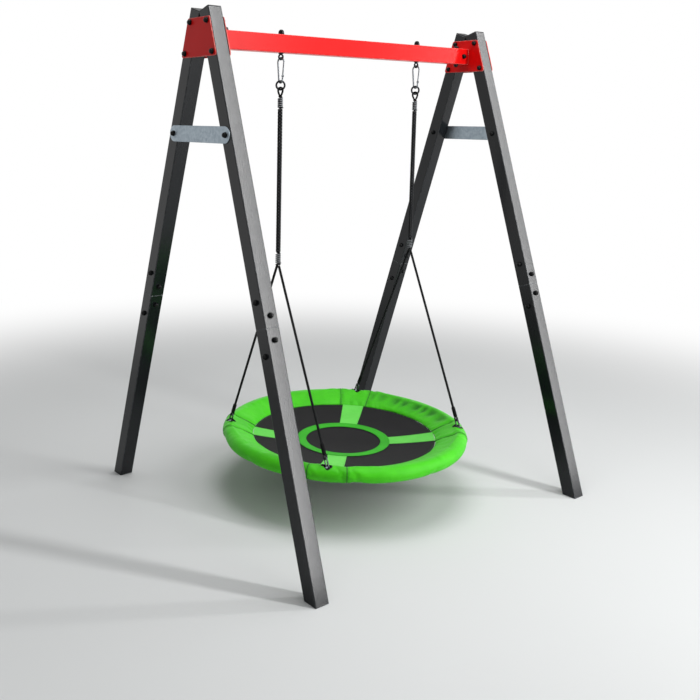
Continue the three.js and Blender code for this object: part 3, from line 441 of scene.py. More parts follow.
graphiteCoat = powderCoatedSteel("graphite_textured_powder_coat", "#15171A", "#64686C", 0.18, 2.2, 0.28,
                                 rolled=0.03)
# the red coat's pale pink edge colour is partly edge wear and partly a painted highlight along the plates' and
# beam's edges
redCoat = powderCoatedSteel("red_satin_powder_coat", "#D90C0C", "#FFB0A8", 0.3, 3.5, 0.13)
galvanisedStrap = zincedSteel("hot_dip_galvanised_steel", "#97A2AA", "#7F8A93", 0.42, 9, 0.15)
zincWire = zincedSteel("zinc_plated_steel_wire", "#7C8084", "#4E5154", 0.33, 2, 0.1)
linkWire = zincedSteel("zinc_plated_steel_link", "#5C6063", "#3A3D40", 0.34, 2, 0.1)
blackWire = zincedSteel("black_zinc_plated_steel", "#2C2E31", "#191A1C", 0.36, 2, 0.1)
blackCap = mouldedPlastic("moulded_polyethylene_gloss", "#050607", 0.17, 0.12)
blackPlug = mouldedPlastic("moulded_polyethylene_satin", "#0C0D0E", 0.42, 0.2)
# the pale colours of the ropes are painted highlights on the strands' crowns
thickBraid = braidedRope("braided_polypropylene_20mm", "#070708", "#8A8C90", 20, 8, 50)
thinBraid = braidedRope("braided_polypropylene_11mm", "#070708", "#5A5C60", 11, 8, 32)
loopBraid = braidedRope("braided_polypropylene_8mm", "#070708", "#45474A", 8, 8, 26)
whipBraid = braidedRope("braided_polypropylene_7mm", "#070708", "#96999D", 6.6, 8, 22)
boundTwine = braidedRope("bound_polyester_twine", "#070708", "#303134", 16.4, 16, 36)
# the fold colour is painted shade in the cover's pleats and beside its seams
limeCover = wovenCloth("pvc_coated_polyester_lime", "#48C814", "#38B40F", 0.45, 2.4, 0.02, 0.25, 0.18,
                       puckered=6, foldShadeColour="#1F7A10")
blackMesh = wovenCloth("woven_polypropylene_mat", "#1A181B", "#121013", 0.75, 2.2, 0.02, 0.5, 0.12,
                       fromUv=False)
paleWebbing = wovenCloth("polyester_webbing_pale_green", "#6ADB52", "#52C83E", 0.6, 2.6, 0.16, 0.4,
                         puckered=4)
greenWebbing = wovenCloth("polyester_webbing_green", "#30B016", "#249610", 0.6, 2.6, 0.05, 0.4)
darkThread = wovenCloth("bonded_polyester_thread", "#0F4212", "#0A300D", 0.6, 1.2, 0.1, 0.2)
greenThread = wovenCloth("polyester_thread_green", "#3FA52E", "#2F8F22", 0.6, 1.2, 0.1, 0.2)
blackWebbing = wovenCloth("nylon_webbing_black", "#101112", "#08090A", 0.65, 1.8, 0.1, 0.3)
print("materials made")

# The frame

ends = {"left": -1, "right": 1}
sides = {"front": -1, "rear": 1}

legSizes = {
    "notchHeight": 2.0, "spacing": 1.48, "footSpread": 1.418, "notchGap": 0.0006,
    "width": 0.060, "wall": 0.002, "corner": 0.0034, "cornerSteps": 5, "cutEdge": 0.0005, "wornReach": 0.006,
    "seamAlong": 1.176, "seamGap": 0.0007, "openDepth": 0.02,
}
legAngle = math.acos(legSizes["width"] / math.hypot(legSizes["notchHeight"], legSizes["footSpread"] / 2)) \
    - math.atan2(legSizes["notchHeight"], legSizes["footSpread"] / 2)


def onLeg(x, side, along, across):
    # a point on a leg: along it from the notch, across it from its inner face
    y = side * (legSizes["notchGap"] / 2 + across * math.cos(legAngle) + along * math.sin(legAngle))
    return x, y, legSizes["notchHeight"] + across * math.sin(legAngle) - along * math.cos(legAngle)


def alongToGround(across, height=0.0):
    return (legSizes["notchHeight"] - height + across * math.sin(legAngle)) / math.cos(legAngle)


def squareOutline(half, corner, steps):
    return roundedOutline([(half, -half), (half, half), (-half, half), (-half, -half)], max(corner, 0.0004),
                          steps)


def legTube(x, side, rows):
    # rows are (inset, along, wear), where along is a number or a function of the place across the leg
    half, corner, steps = legSizes["width"] / 2, legSizes["corner"], legSizes["cornerSteps"]
    points, edge = [], []
    for inset, along, wearAndPaintedLightShare in rows:
        outline = squareOutline(half - inset, corner - inset, steps)
        ring = []
        for dx, across in outline:
            place = along(half + across) if callable(along) else along
            ring.append(onLeg(x + dx * side, side, place, half + across))
        points.append(ring)
        edge.append(np.maximum(cornerWearAndHighlight(4, steps), wearAndPaintedLightShare))
    rowPlaces = [along(half) if callable(along) else along for inset, along, wearAndPaintedLightShare in rows]
    outline = squareOutline(half, corner, steps)
    around = np.cumsum(np.linalg.norm(np.diff(np.vstack([outline, outline[:1]]), axis=0), axis=1))
    return gridPart(np.array(points), rowPlaces, np.append(0, around), edge=edge)


def upperLegRows():
    s = legSizes
    seam = s["seamAlong"] - s["seamGap"] / 2
    return [(s["wall"], seam - s["openDepth"], 0), (s["wall"], seam, 0.4), (s["cutEdge"], seam, 1),
            (0, seam - s["cutEdge"], 1), (0, seam - s["wornReach"], 0), (0, 0.5, 0), (0, s["wornReach"], 0),
            (0, s["cutEdge"], 1), (s["cutEdge"], 0, 1), (s["wall"], 0, 0.4), (s["wall"], s["openDepth"], 0)]


def lowerLegRows():
    s = legSizes
    seam = s["seamAlong"] + s["seamGap"] / 2
    above = lambda height: (lambda across: alongToGround(across, height))
    return [(s["cutEdge"], above(0), 1), (0, above(s["cutEdge"]), 1), (0, above(0.008), 0), (0, 1.6, 0),
            (0, seam + s["wornReach"], 0), (0, seam + s["cutEdge"], 1), (s["cutEdge"], seam, 1),
            (s["wall"], seam, 0.4), (s["wall"], seam + s["openDepth"], 0)]


capSizes = {
    "radius": 0.011, "height": 0.0125, "sides": 28, "gap": 0.0003,
    # flat base flange, a small step, then the dome; shares of radius and height
    "profileShares": [(0.94, 0.0), (1.0, 0.05), (1.0, 0.14), (0.965, 0.19), (0.9, 0.2), (0.885, 0.26),
                      (0.875, 0.42), (0.81, 0.62), (0.7, 0.78), (0.53, 0.905), (0.33, 0.975), (0.12, 1.0)],
}


def domedCap(place, axis, radius=None, height=None):
    radius, height = radius or capSizes["radius"], height or capSizes["height"]
    profile = [(radius * r, height * h) for r, h in capSizes["profileShares"]]
    return turnedPart(profile, place, axis, capSizes["sides"])


def boltCaps(middle, axis, halfStack):
    # a domed cap at each end of a through bolt
    middle, axis = np.array(middle, float), unit(np.array(axis, float))
    seat = halfStack + capSizes["gap"]
    return [domedCap(middle + sign * axis * seat, sign * axis) for sign in (-1, 1)]


spliceSizes = {"half": 0.0277, "reach": 0.13, "boltFar": 0.095, "boltNear": 0.043}
bevelShare = 0.3        # where the middle row of a rounded edge lies, as a share of the bevel
topCapSizes = {"edge": 0.0297, "plug": 0.0277, "thickness": 0.004, "bevel": 0.0009, "depth": 0.014,
               "gap": 0.0003,
               "notchEdge": 0.0016}


def legCapPart(x, side):
    s = topCapSizes
    rows = [(s["plug"], s["depth"]), (s["plug"], -s["gap"]), (s["edge"], -s["gap"]),
            (s["edge"], -s["gap"] - s["thickness"] + s["bevel"]),
            (s["edge"] - s["bevel"] * bevelShare, -s["gap"] - s["thickness"] + s["bevel"] * bevelShare),
            (s["edge"] - s["bevel"], -s["gap"] - s["thickness"]),
            (s["edge"] - 0.006, -s["gap"] - s["thickness"] - 0.0002)]
    half = legSizes["width"] / 2
    points = np.array([[onLeg(x + dx * side, side, along, max(half + across, s["notchEdge"]))
                        for dx, across in squareOutline(reach, 0.003, 5)] for reach, along in rows])
    return gridPart(points, np.linspace(0, 1, len(rows)), np.linspace(0, 0.2, points.shape[1] + 1))


for endName, end in ends.items():
    x = end * legSizes["spacing"] / 2
    for sideName, side in sides.items():
        tag = f"{endName}_{sideName}"
        buildPiece(f"legUpper_{tag}", [legTube(x, side, upperLegRows())], [graphiteCoat], "frame",
                   [f"upper_leg_{tag}"], 40)
        buildPiece(f"legLower_{tag}", [legTube(x, side, lowerLegRows())], [graphiteCoat], "frame",
                   [f"lower_leg_{tag}"], 40)
        buildPiece(f"legCap_{tag}", [legCapPart(x, side)], [blackPlug], "frame",
                   [f"leg_top_cap_{tag}"], 35)
        middle, half = legSizes["seamAlong"], legSizes["width"] / 2
        axisAcross = np.array(onLeg(0, side, 0, 1)) - np.array(onLeg(0, side, 0, 0))
        parts = [legTube(x, side, [(half - spliceSizes["half"], middle + spliceSizes["reach"], 0),
                                   (half - spliceSizes["half"], middle - spliceSizes["reach"], 0)])]
        for sign in (-1, 1):
            parts += boltCaps(onLeg(x, side, middle + sign * spliceSizes["boltFar"], half), (1, 0, 0), half)
            parts += boltCaps(onLeg(x, side, middle + sign * spliceSizes["boltNear"], half), axisAcross, half)
        buildPiece(f"spliceBolts_{tag}", parts, [blackCap], "frame",
                   [f"splice_sleeve_{tag}"], 32)

plateSizes = {
    "thickness": 0.003, "topDrop": 0.017, "height": 0.143, "lip": 0.002, "corner": 0.009, "cornerSteps": 6,
              "bevel": 0.0009,
    "boltAlongs": (0.047, 0.165), "boltOutset": 0.012,
}
beamSizes = {
    "halfHeight": 0.035, "halfDepth": 0.025, "corner": 0.0032, "cornerSteps": 5, "wall": 0.002, "drop": 0.092,
    "boltAcross": 0.034, "boltUpright": 0.056, "stub": 0.09,
}
gap = 0.0003
plateReach = legSizes["width"] / 2 + gap + plateSizes["thickness"]
innerPlateX = legSizes["spacing"] / 2 - plateReach
beamZ = legSizes["notchHeight"] - beamSizes["drop"]


def plateOutline():
    top = legSizes["notchHeight"] - plateSizes["topDrop"]
    bottom = top - plateSizes["height"]
    legReach = legSizes["width"] / math.cos(legAngle)
    reach = lambda z: (legSizes["notchHeight"] - z) * math.tan(legAngle) + legReach + plateSizes["lip"]
    corners = [(reach(bottom), bottom), (reach(top), top), (-reach(top), top), (-reach(bottom), bottom)]
    return roundedOutline(corners, plateSizes["corner"], plateSizes["cornerSteps"])


def flatPart(outline, fromX, toX, bevel):
    # flat plate with rounded edges, its outline in the YZ plane
    bend = bevel * bevelShare
    rows = [(bevel, fromX), (bend, fromX + bend), (0, fromX + bevel), (0, toX - bevel), (bend, toX - bend),
            (bevel, toX)]
    points = np.array([[(x, y, z) for y, z in insetOutline(outline, inset)] for inset, x in rows])
    wearAndPaintedLightShare = [np.full(len(outline), w) for w in (0.9, 1, 0.8, 0.8, 1, 0.9)]
    inner = [insetOutline(outline, bevel + 0.004)]
    points = np.concatenate([[[(fromX, y, z) for y, z in inner[0]]], points,
                             [[(toX, y, z) for y, z in inner[0]]]])
    wearAndPaintedLightShare = [np.zeros(len(outline))] + wearAndPaintedLightShare + [np.zeros(len(outline))]
    return gridPart(points, np.linspace(0, 1, len(points)), np.linspace(0, 1, len(outline) + 1), edge=wearAndPaintedLightShare)


def beamPart(fromX, toX, halfDepth, halfHeight, corner, wall):
    outline = roundedOutline([(halfDepth, -halfHeight), (halfDepth, halfHeight), (-halfDepth, halfHeight),
                              (-halfDepth, -halfHeight)],
                             corner, beamSizes["cornerSteps"])
    cut, wearAndPaintedLight, inside = legSizes["cutEdge"], 0.008, 0.02
    rows = [(wall, fromX + inside, 0), (wall, fromX, 0.4), (cut, fromX, 1), (0, fromX + cut, 1),
            (0, fromX + wearAndPaintedLight, 0), (0, toX - wearAndPaintedLight, 0), (0, toX - cut, 1), (cut, toX, 1), (wall, toX, 0.4),
            (wall, toX - inside, 0)]
    points = np.array([[(x, y, beamZ + z) for y, z in insetOutline(outline, inset)]
                       for inset, x, wearAndPaintedLightShare in rows])
    edge = [np.maximum(cornerWearAndHighlight(4, beamSizes["cornerSteps"]), wearAndPaintedLightShare) for inset, x, wearAndPaintedLightShare in rows]
    return gridPart(points, np.linspace(0, 1, len(rows)), np.linspace(0, 1, len(outline) + 1), edge=edge)


strapSizes = {"along": 0.474, "width": 0.062, "thickness": 0.003, "endReach": 0.026, "bevel": 0.0006,
              "steps": 14}
for endName, end in ends.items():
    nearX = end * (legSizes["spacing"] / 2 + legSizes["width"] / 2 + gap)
    edges = sorted((nearX, nearX + end * plateSizes["thickness"]))
    buildPiece(f"plateOuter_{endName}", [flatPart(plateOutline(), *edges, plateSizes["bevel"])], [redCoat],
               "frame",
               [f"outer_plate_{endName}"], 40)
    farX = end * innerPlateX
    edges = sorted((farX, farX + end * plateSizes["thickness"]))
    stubInset = beamSizes["wall"] + gap
    stub = sorted((farX, farX - end * beamSizes["stub"]))
    parts = [flatPart(plateOutline(), *edges, plateSizes["bevel"]),
             beamPart(*stub, beamSizes["halfDepth"] - stubInset, beamSizes["halfHeight"] - stubInset, 0.002,
                      0.0015)]
    caps = boltCaps((farX - end * beamSizes["boltAcross"], 0, beamZ), (0, 1, 0), beamSizes["halfDepth"])
    caps += boltCaps((farX - end * beamSizes["boltUpright"], 0, beamZ), (0, 0, 1), beamSizes["halfHeight"])
    for part in caps:
        part["material"] = 1
    buildPiece(f"plateInner_{endName}", parts + caps, [redCoat, blackCap], "frame",
               [f"inner_plate_{endName}"], 34)
    places = [(side, along) for side in (-1, 1) for along in plateSizes["boltAlongs"]]
    for number, (side, along) in enumerate(places, 1):
        middle = onLeg(end * legSizes["spacing"] / 2, side, along,
                       legSizes["width"] / 2 + plateSizes["boltOutset"])
        buildPiece(f"plateCaps_{endName}_{number}", boltCaps(middle, (1, 0, 0), plateReach), [blackCap],
                   "frame",
                   [f"plate_bolt_{endName}_{number}"], 32)
    x, y, z = onLeg(0, 1, strapSizes["along"], legSizes["width"] / 2)
    half, bend = strapSizes["width"] / 2, y + strapSizes["endReach"] - strapSizes["width"] / 2
    turns = np.linspace(-math.pi / 2, math.pi / 2, strapSizes["steps"] + 1)
    outline = [(bend + half * math.cos(t), z + half * math.sin(t)) for t in turns]
    outline += [(-bend - half * math.cos(t), z - half * math.sin(t)) for t in turns]
    edges = sorted((nearX, nearX + end * strapSizes["thickness"]))
    middleX = end * (legSizes["spacing"] + gap + strapSizes["thickness"]) / 2
    halfStack = (legSizes["width"] + gap + strapSizes["thickness"]) / 2
    caps = [cap for place in (y, -y) for cap in boltCaps((middleX, place, z), (1, 0, 0), halfStack)]
    for part in caps:
        part["material"] = 1
    buildPiece(f"braceStrap_{endName}", [flatPart(np.array(outline), *edges, strapSizes["bevel"])] + caps,
               [galvanisedStrap, blackCap], "frame", [f"brace_strap_{endName}"], 34)

beamEnd = innerPlateX - gap
buildPiece("beam", [beamPart(-beamEnd, beamEnd, beamSizes["halfDepth"], beamSizes["halfHeight"],
                             beamSizes["corner"], beamSizes["wall"])],
           [redCoat], "frame", ["crossbeam"], 40)
print("frame made")

# The hangers

hangX = 0.385
eyeSizes = {"radius": 0.010, "wire": 0.0035, "collarRadius": 0.010, "collarThickness": 0.003, "shank": 0.005,
            "nutRadius": 0.013, "nutHeight": 0.020, "steps": 40, "sides": 14}
hookSizes = {"length": 0.104, "wire": 0.00325, "topRadius": 0.0185, "bottomRadius": 0.0115, "gate": 0.0026,
             "gateRoot": 0.0018,
             "hingeShare": 0.2, "knuckle": 0.0034, "knuckleWidth": 0.0034, "tipGap": 0.0005, "ear": 0.0044,
             "pin": 0.0012,
             "sides": 14}
ringSizes = {"radius": 0.0168, "wire": 0.0038, "turn": math.radians(28), "steps": 56, "sides": 14}

beamUnder = beamZ - beamSizes["halfHeight"]
eyeZ = beamUnder - gap - eyeSizes["collarThickness"] - eyeSizes["radius"] - eyeSizes["wire"] / 2
eyeBarZ = eyeZ - eyeSizes["radius"]
hookTopZ = eyeBarZ + eyeSizes["wire"] + gap + hookSizes["wire"]
hookBottomZ = hookTopZ - hookSizes["length"] + 2 * hookSizes["wire"]
ringTopZ = hookBottomZ + hookSizes["wire"] + gap + ringSizes["wire"]
ringZ = ringTopZ - ringSizes["radius"]


def ringPart(x, z, radius, wire, steps, sides, turn=0):
    # upright ring; turn moves it about Z, clockwise seen from above
    turns = np.arange(steps) * 2 * math.pi / steps
    across = radius * np.cos(turns)
    path = np.stack([x + across * math.cos(turn), -across * math.sin(turn), z + radius * np.sin(turns)],
                    axis=1)
    return tubePart(path, wire, sides, (math.sin(turn), math.cos(turn), 0), closed=True)


def eyeboltParts(x):
    top = beamUnder - gap
    s = eyeSizes
    neck = [(s["wire"] * 0.9, top - s["collarThickness"] - s["wire"]),
            (s["wire"] * 1.1, top - s["collarThickness"] - s["wire"] * 0.4),
            (s["collarRadius"] * 0.7, top - s["collarThickness"] * 1.1),
            (s["collarRadius"] * 0.96, top - s["collarThickness"]),
            (s["collarRadius"], top - s["collarThickness"] * 0.85), (s["collarRadius"], top - 0.0003),
            (s["collarRadius"] * 0.96, top), (s["shank"], top), (s["shank"], beamZ + beamSizes["halfHeight"])]
    return [ringPart(x, eyeZ, s["radius"], s["wire"], s["steps"], s["sides"]),
            turnedPart(neck, (x, 0, 0), (0, 0, 1), 28)]


hookCentres = (hookTopZ - hookSizes["topRadius"], hookBottomZ + hookSizes["bottomRadius"])
hookTilt = math.asin((hookSizes["topRadius"] - hookSizes["bottomRadius"]) / (hookCentres[0] - hookCentres[1]))


def hookPoint(centreZ, radius, angle):
    return np.array([radius * math.cos(angle), centreZ + radius * math.sin(angle)])


gateNose = hookPoint(hookCentres[0], hookSizes["topRadius"], math.pi - hookTilt)
gateFoot = hookPoint(hookCentres[1], hookSizes["bottomRadius"], math.pi - hookTilt)
gateHinge = gateFoot + (gateNose - gateFoot) * hookSizes["hingeShare"]
gateSpan = float(np.linalg.norm(gateNose - gateHinge))
gateUp = np.array([0, *(gateNose - gateHinge) / gateSpan])


def hookParts(x):
    s = hookSizes
    bend = lambda centre, radius, first, last, steps: [
        (x, *hookPoint(centre, radius, first + (last - first) * i / steps)) for i in range(steps + 1)]
    path = bend(hookCentres[0], s["topRadius"], math.pi - hookTilt, hookTilt, 26)
    path += bend(hookCentres[1], s["bottomRadius"], hookTilt, -math.pi - hookTilt, 26)
    hinge = np.array([x, *gateHinge])
    path = [np.array(path[0]) - gateUp * 0.0002, np.array(path[0]) + gateUp * s["wire"] * 0.3] + path[1:]
    path.append(hinge - gateUp * (s["knuckle"] + s["tipGap"]))
    radii = np.full(len(path), s["wire"])
    radii[0], radii[-1] = s["wire"] * 0.86, s["wire"] * 0.86
    parts = [tubePart(path, radii, s["sides"], (1, 0, 0))]
    earWidth = s["wire"] - s["knuckleWidth"] / 2 - gap
    for sign in (-1, 1):
        inner = s["knuckleWidth"] / 2 + gap
        profile = [(s["ear"] * 0.94, inner), (s["ear"], inner + 0.0003),
                   (s["ear"], inner + earWidth - 0.0004),
                   (s["ear"] * 0.9, inner + earWidth), (s["pin"] * 1.6, inner + earWidth),
                   (s["pin"] * 1.4, inner + earWidth + 0.0006),
                   (s["pin"] * 0.6, inner + earWidth + 0.0008)]
        parts.append(turnedPart(profile, hinge, (sign, 0, 0), 24))
    pin = [(s["pin"], -s["wire"] + earWidth / 2), (s["pin"], s["wire"] - earWidth / 2)]
    parts.append(turnedPart(pin, hinge, (1, 0, 0), 12))
    return parts


def gateParts(x):
    s = hookSizes
    hinge = np.array([x, *gateHinge])
    clear = s["ear"] + gap
    stations = [s["knuckle"] * 0.5, clear, clear + (s["gate"] - s["gateRoot"]) * 0.5,
                clear + s["gate"] - s["gateRoot"],
                gateSpan * 0.6, gateSpan - s["tipGap"] - 0.0008, gateSpan - s["tipGap"]]
    radii = [s["gateRoot"], s["gateRoot"], (s["gate"] + s["gateRoot"]) / 2, s["gate"], s["gate"], s["gate"],
             s["gate"] * 0.8]
    bar = tubePart([hinge + gateUp * along for along in stations], radii, 16, (1, 0, 0))
    half = s["knuckleWidth"] / 2
    knuckle = [(s["pin"] + gap, -half), (s["knuckle"] * 0.95, -half), (s["knuckle"], -half + 0.0004),
               (s["knuckle"], half - 0.0004),
               (s["knuckle"] * 0.95, half), (s["pin"] + gap, half)]
    return [bar, turnedPart(knuckle, hinge, (1, 0, 0), 24)]


for endName, end in ends.items():
    x = end * hangX
    buildPiece(f"eyebolt_{endName}_wire", eyeboltParts(x), [blackWire], "frame",
               [f"eyebolt_{endName}"], 45)
    nut = [domedCap((x, 0, beamZ + beamSizes["halfHeight"] + gap), (0, 0, 1), eyeSizes["nutRadius"],
                    eyeSizes["nutHeight"])]
    buildPiece(f"eyeboltCap_{endName}", nut, [blackCap], "frame",
               [f"eyebolt_nut_{endName}"], 32)
    buildPiece(f"snapHook_{endName}", hookParts(x), [zincWire], f"{endName}_hook",
               [f"snap_hook_{endName}"], 40)
    buildPiece(f"hookGate_{endName}", gateParts(x), [zincWire], f"{endName}_gate",
               [f"hook_gate_{endName}"], 40)
    ring = ringPart(x, ringZ, ringSizes["radius"], ringSizes["wire"], ringSizes["steps"], ringSizes["sides"],
                    ringSizes["turn"])
    buildPiece(f"hangerRing_{endName}", [ring], [blackWire], f"{endName}_hanger",
               [f"hanger_ring_{endName}"])

ropeSizes = {
    "radius": 0.010, "core": 0.0045, "gripLength": 0.5785, "loopWire": 0.004, "loopHeight": 0.037,
             "loopHalfWidth": 0.015,
    "loopNeck": 0.0042, "loopLay": 0.026, "widthShares": (0.28, 0.62, 0.95, 0.86),
             "heightShares": (0.12, 0.34, 0.64, 0.88),
    "collarRadius": 0.0105, "collarThickness": 0.005, "carriers": 8, "lay": 0.050, "relief": 0.0012,
             "sides": 48, "step": 0.0013,
}
whipSizes = {"wire": 0.0033, "pitch": 0.0076, "turns": 5, "steps": 40, "sides": 16, "lay": 0.022,
             "carriers": 8, "relief": 0.0006}
strandSizes = {
    "radius": 0.0055, "spacing": 0.0118, "topDrop": 0.0028, "sleeveRadius": 0.0082, "sleeveLength": 0.046,
               "eyeRadius": 0.008,
    "eyeWire": 0.0035, "carriers": 8, "lay": 0.032, "relief": 0.0008, "sides": 24, "step": 0.0016,
}
linkSizes = {"length": 0.046, "bend": 0.008, "wire": 0.003, "gap": 0.0005, "steps": 16, "sides": 12}
seatSizes = {
    "ringRadius": 0.505, "height": 0.250, "tube": 0.014, "stapleWire": 0.0035, "stapleHalfWidth": 0.0095,
             "stapleRise": 0.0115,
}

loopTopZ = ringZ - ringSizes["radius"] + ringSizes["wire"] + gap + ropeSizes["loopWire"]
loopBottomZ = loopTopZ - ropeSizes["loopHeight"]
whipLength = whipSizes["pitch"] * whipSizes["turns"]
whipBand = whipLength + 2 * whipSizes["wire"] + 2 * gap
gripTopZ = loopBottomZ - whipBand
gripBottomZ = gripTopZ - ropeSizes["gripLength"]
collarTopZ = gripBottomZ - whipBand
collarBottomZ = collarTopZ - ropeSizes["collarThickness"]
attachY = math.sqrt(seatSizes["ringRadius"] ** 2 - hangX ** 2)
stapleZ = seatSizes["height"] + seatSizes["tube"] + seatSizes["stapleRise"]
linkSeat = seatSizes["stapleWire"] + linkSizes["gap"] + linkSizes["wire"]
strandTopZ = collarBottomZ - strandSizes["topDrop"]
strandAngle = math.atan2(attachY - strandSizes["spacing"] / 2, strandTopZ - stapleZ)


def braidRelief(carriers, lay, depth):
    # height of a braid's crossing strands over the turn round the rope and the way along it
    def at(turn, along):
        first = carriers / 2 * (turn / (2 * math.pi) + along / lay)
        second = carriers / 2 * (turn / (2 * math.pi) - along / lay)
        even = (np.floor(first) + np.floor(second)) % 2 < 1
        a, b = np.abs(np.sin(math.pi * (first % 1))), np.abs(np.sin(math.pi * (second % 1)))
        return depth * (np.where(even, a ** 0.8 * b ** 0.35, b ** 0.8 * a ** 0.35) - 1)
    return at


def straightPath(start, end, step):
    start, end = np.array(start, float), np.array(end, float)
    count = max(2, int(np.linalg.norm(end - start) / step))
    return start + (end - start) * np.linspace(0, 1, count + 1)[:, None]


def thickRopePath(x):
    return straightPath((x, 0, loopBottomZ), (x, 0, collarTopZ), ropeSizes["step"])


def thickRopePart(path):
    z = path[:, 2]
    shoulder = 0.005                  # over which the rope narrows into its whipping
    into = np.minimum(gripTopZ - z, z - gripBottomZ)
    share = np.clip(into / shoulder, 0, 1)
    radius = ropeSizes["core"] + (ropeSizes["radius"] - ropeSizes["core"]) * np.sqrt(share * (2 - share))
    return tubePart(path, radius, ropeSizes["sides"], (1, 0, 0),
                    relief=braidRelief(ropeSizes["carriers"], ropeSizes["lay"], ropeSizes["relief"]))


def loopParts(x):
    s = ropeSizes
    left = [(x, -max(s["loopHalfWidth"] * w, s["loopNeck"]), loopBottomZ + s["loopHeight"] * h)
            for w, h in zip(s["widthShares"], s["heightShares"])]
    right = [(x, -y, z) for x, y, z in left][::-1]
    controls = [(x, -s["loopNeck"], loopBottomZ), *left, (x, 0, loopTopZ), *right,
                (x, s["loopNeck"], loopBottomZ)]
    loop = tubePart(smoothPath(controls, 14), s["loopWire"], 16, (1, 0, 0),
                    relief=braidRelief(8, s["loopLay"], 0.0004))
    neck = [(0.0055, loopBottomZ - 0.001), (0.0082, loopBottomZ), (0.0084, loopBottomZ + 0.0015),
            (0.0074, loopBottomZ + 0.0032),
            (0.005, loopBottomZ + 0.0042), (0.002, loopBottomZ + 0.0045)]
    return [loop, turnedPart(neck, (x, 0, 0), (0, 0, 1), 24)]


def whippingPart(x, bottomZ):
    s = whipSizes
    radius = ropeSizes["core"] + gap + s["wire"]
    count = s["turns"] * s["steps"]
    turns = np.arange(count + 1) * 2 * math.pi / s["steps"]
    z = bottomZ + gap + s["wire"] + whipLength * np.arange(count + 1) / count
    helix = np.stack([x + radius * np.cos(turns), radius * np.sin(turns), z], axis=1)
    tails = [helix[0] + [0, -2 * s["wire"], 0], helix[-1] + [0, 2 * s["wire"], 0]]
    path = np.vstack([tails[:1], helix, tails[1:]])
    outward = np.stack([np.cos(turns), np.sin(turns), 0 * turns], axis=1)
    outward = np.vstack([outward[:1], outward, outward[-1:]])
    part = tubePart(path, s["wire"], s["sides"], outward,
                    relief=braidRelief(s["carriers"], s["lay"], s["relief"]))
    # painted highlight along the crown of each turn
    crownHighlight = np.clip(np.cos(np.arange(s["sides"]) * 2 * math.pi / s["sides"]), 0, 1) ** 6
    part["edge"] = np.tile(crownHighlight, len(path))
    return part


def strandFrame(x, side):
    up = np.array([0, -side * math.sin(strandAngle), math.cos(strandAngle)])
    foot = np.array([x, side * attachY, stapleZ]) - up * linkSeat
    return foot, up, np.cross([1, 0, 0], up)


eyeCentreAlong = (linkSizes["length"] - linkSizes["wire"] - gap - strandSizes["eyeWire"]
                  + strandSizes["eyeRadius"])
sleeveStart = eyeCentreAlong + strandSizes["eyeRadius"]
sleeveEnd = sleeveStart + strandSizes["sleeveLength"]


def thinRopePath(x, side):
    foot, up = strandFrame(x, side)[:2]
    top = float((np.array([x, side * strandSizes["spacing"] / 2, strandTopZ]) - foot) @ up)
    return straightPath(foot + up * top, foot + up * (sleeveStart + 0.004), strandSizes["step"])


def sleeveParts(x, side):
    # bound sleeve over the folded-back rope, and the eye that it holds
    foot, up, over = strandFrame(x, side)
    centre = foot + up * eyeCentreAlong
    turns = np.arange(36) * 2 * math.pi / 36
    circle = np.cos(turns)[:, None] * [1, 0, 0] + np.sin(turns)[:, None] * up
    path = centre + strandSizes["eyeRadius"] * circle
    eye = tubePart(path, strandSizes["eyeWire"], 12, over, closed=True)
    radius, count = strandSizes["sleeveRadius"], 60
    along = np.linspace(sleeveStart - 0.001, sleeveEnd, count + 1)
    share = np.linspace(0, 1, count + 1)
    taper = np.clip(np.minimum(share / 0.08, (1 - share) / 0.1), 0, 1) ** 0.5
    bound = 0.00045 * np.abs(np.sin(share * math.pi * 13))        # thirteen turns of binding
    radii = strandSizes["eyeWire"] * 1.15 + (radius - strandSizes["eyeWire"] * 1.15) * taper - 0.00045 + bound
    sleeve = tubePart([foot + up * a for a in along], radii, 24, (1, 0, 0), material=1)
    return [eye, sleeve]


def linkPart(x, side):
    foot, up, over = strandFrame(x, side)
    s = linkSizes
    turns = [math.pi * i / s["steps"] for i in range(s["steps"] + 1)]
    bend = lambda centre, first: [foot + over * s["bend"] * math.cos(first + turn)
                                  + up * (centre + s["bend"] * math.sin(first + turn)) for turn in turns]
    path = bend(s["length"] - s["bend"], 0) + bend(s["bend"], math.pi)
    return tubePart(path, s["wire"], s["sides"], (1, 0, 0), closed=True)


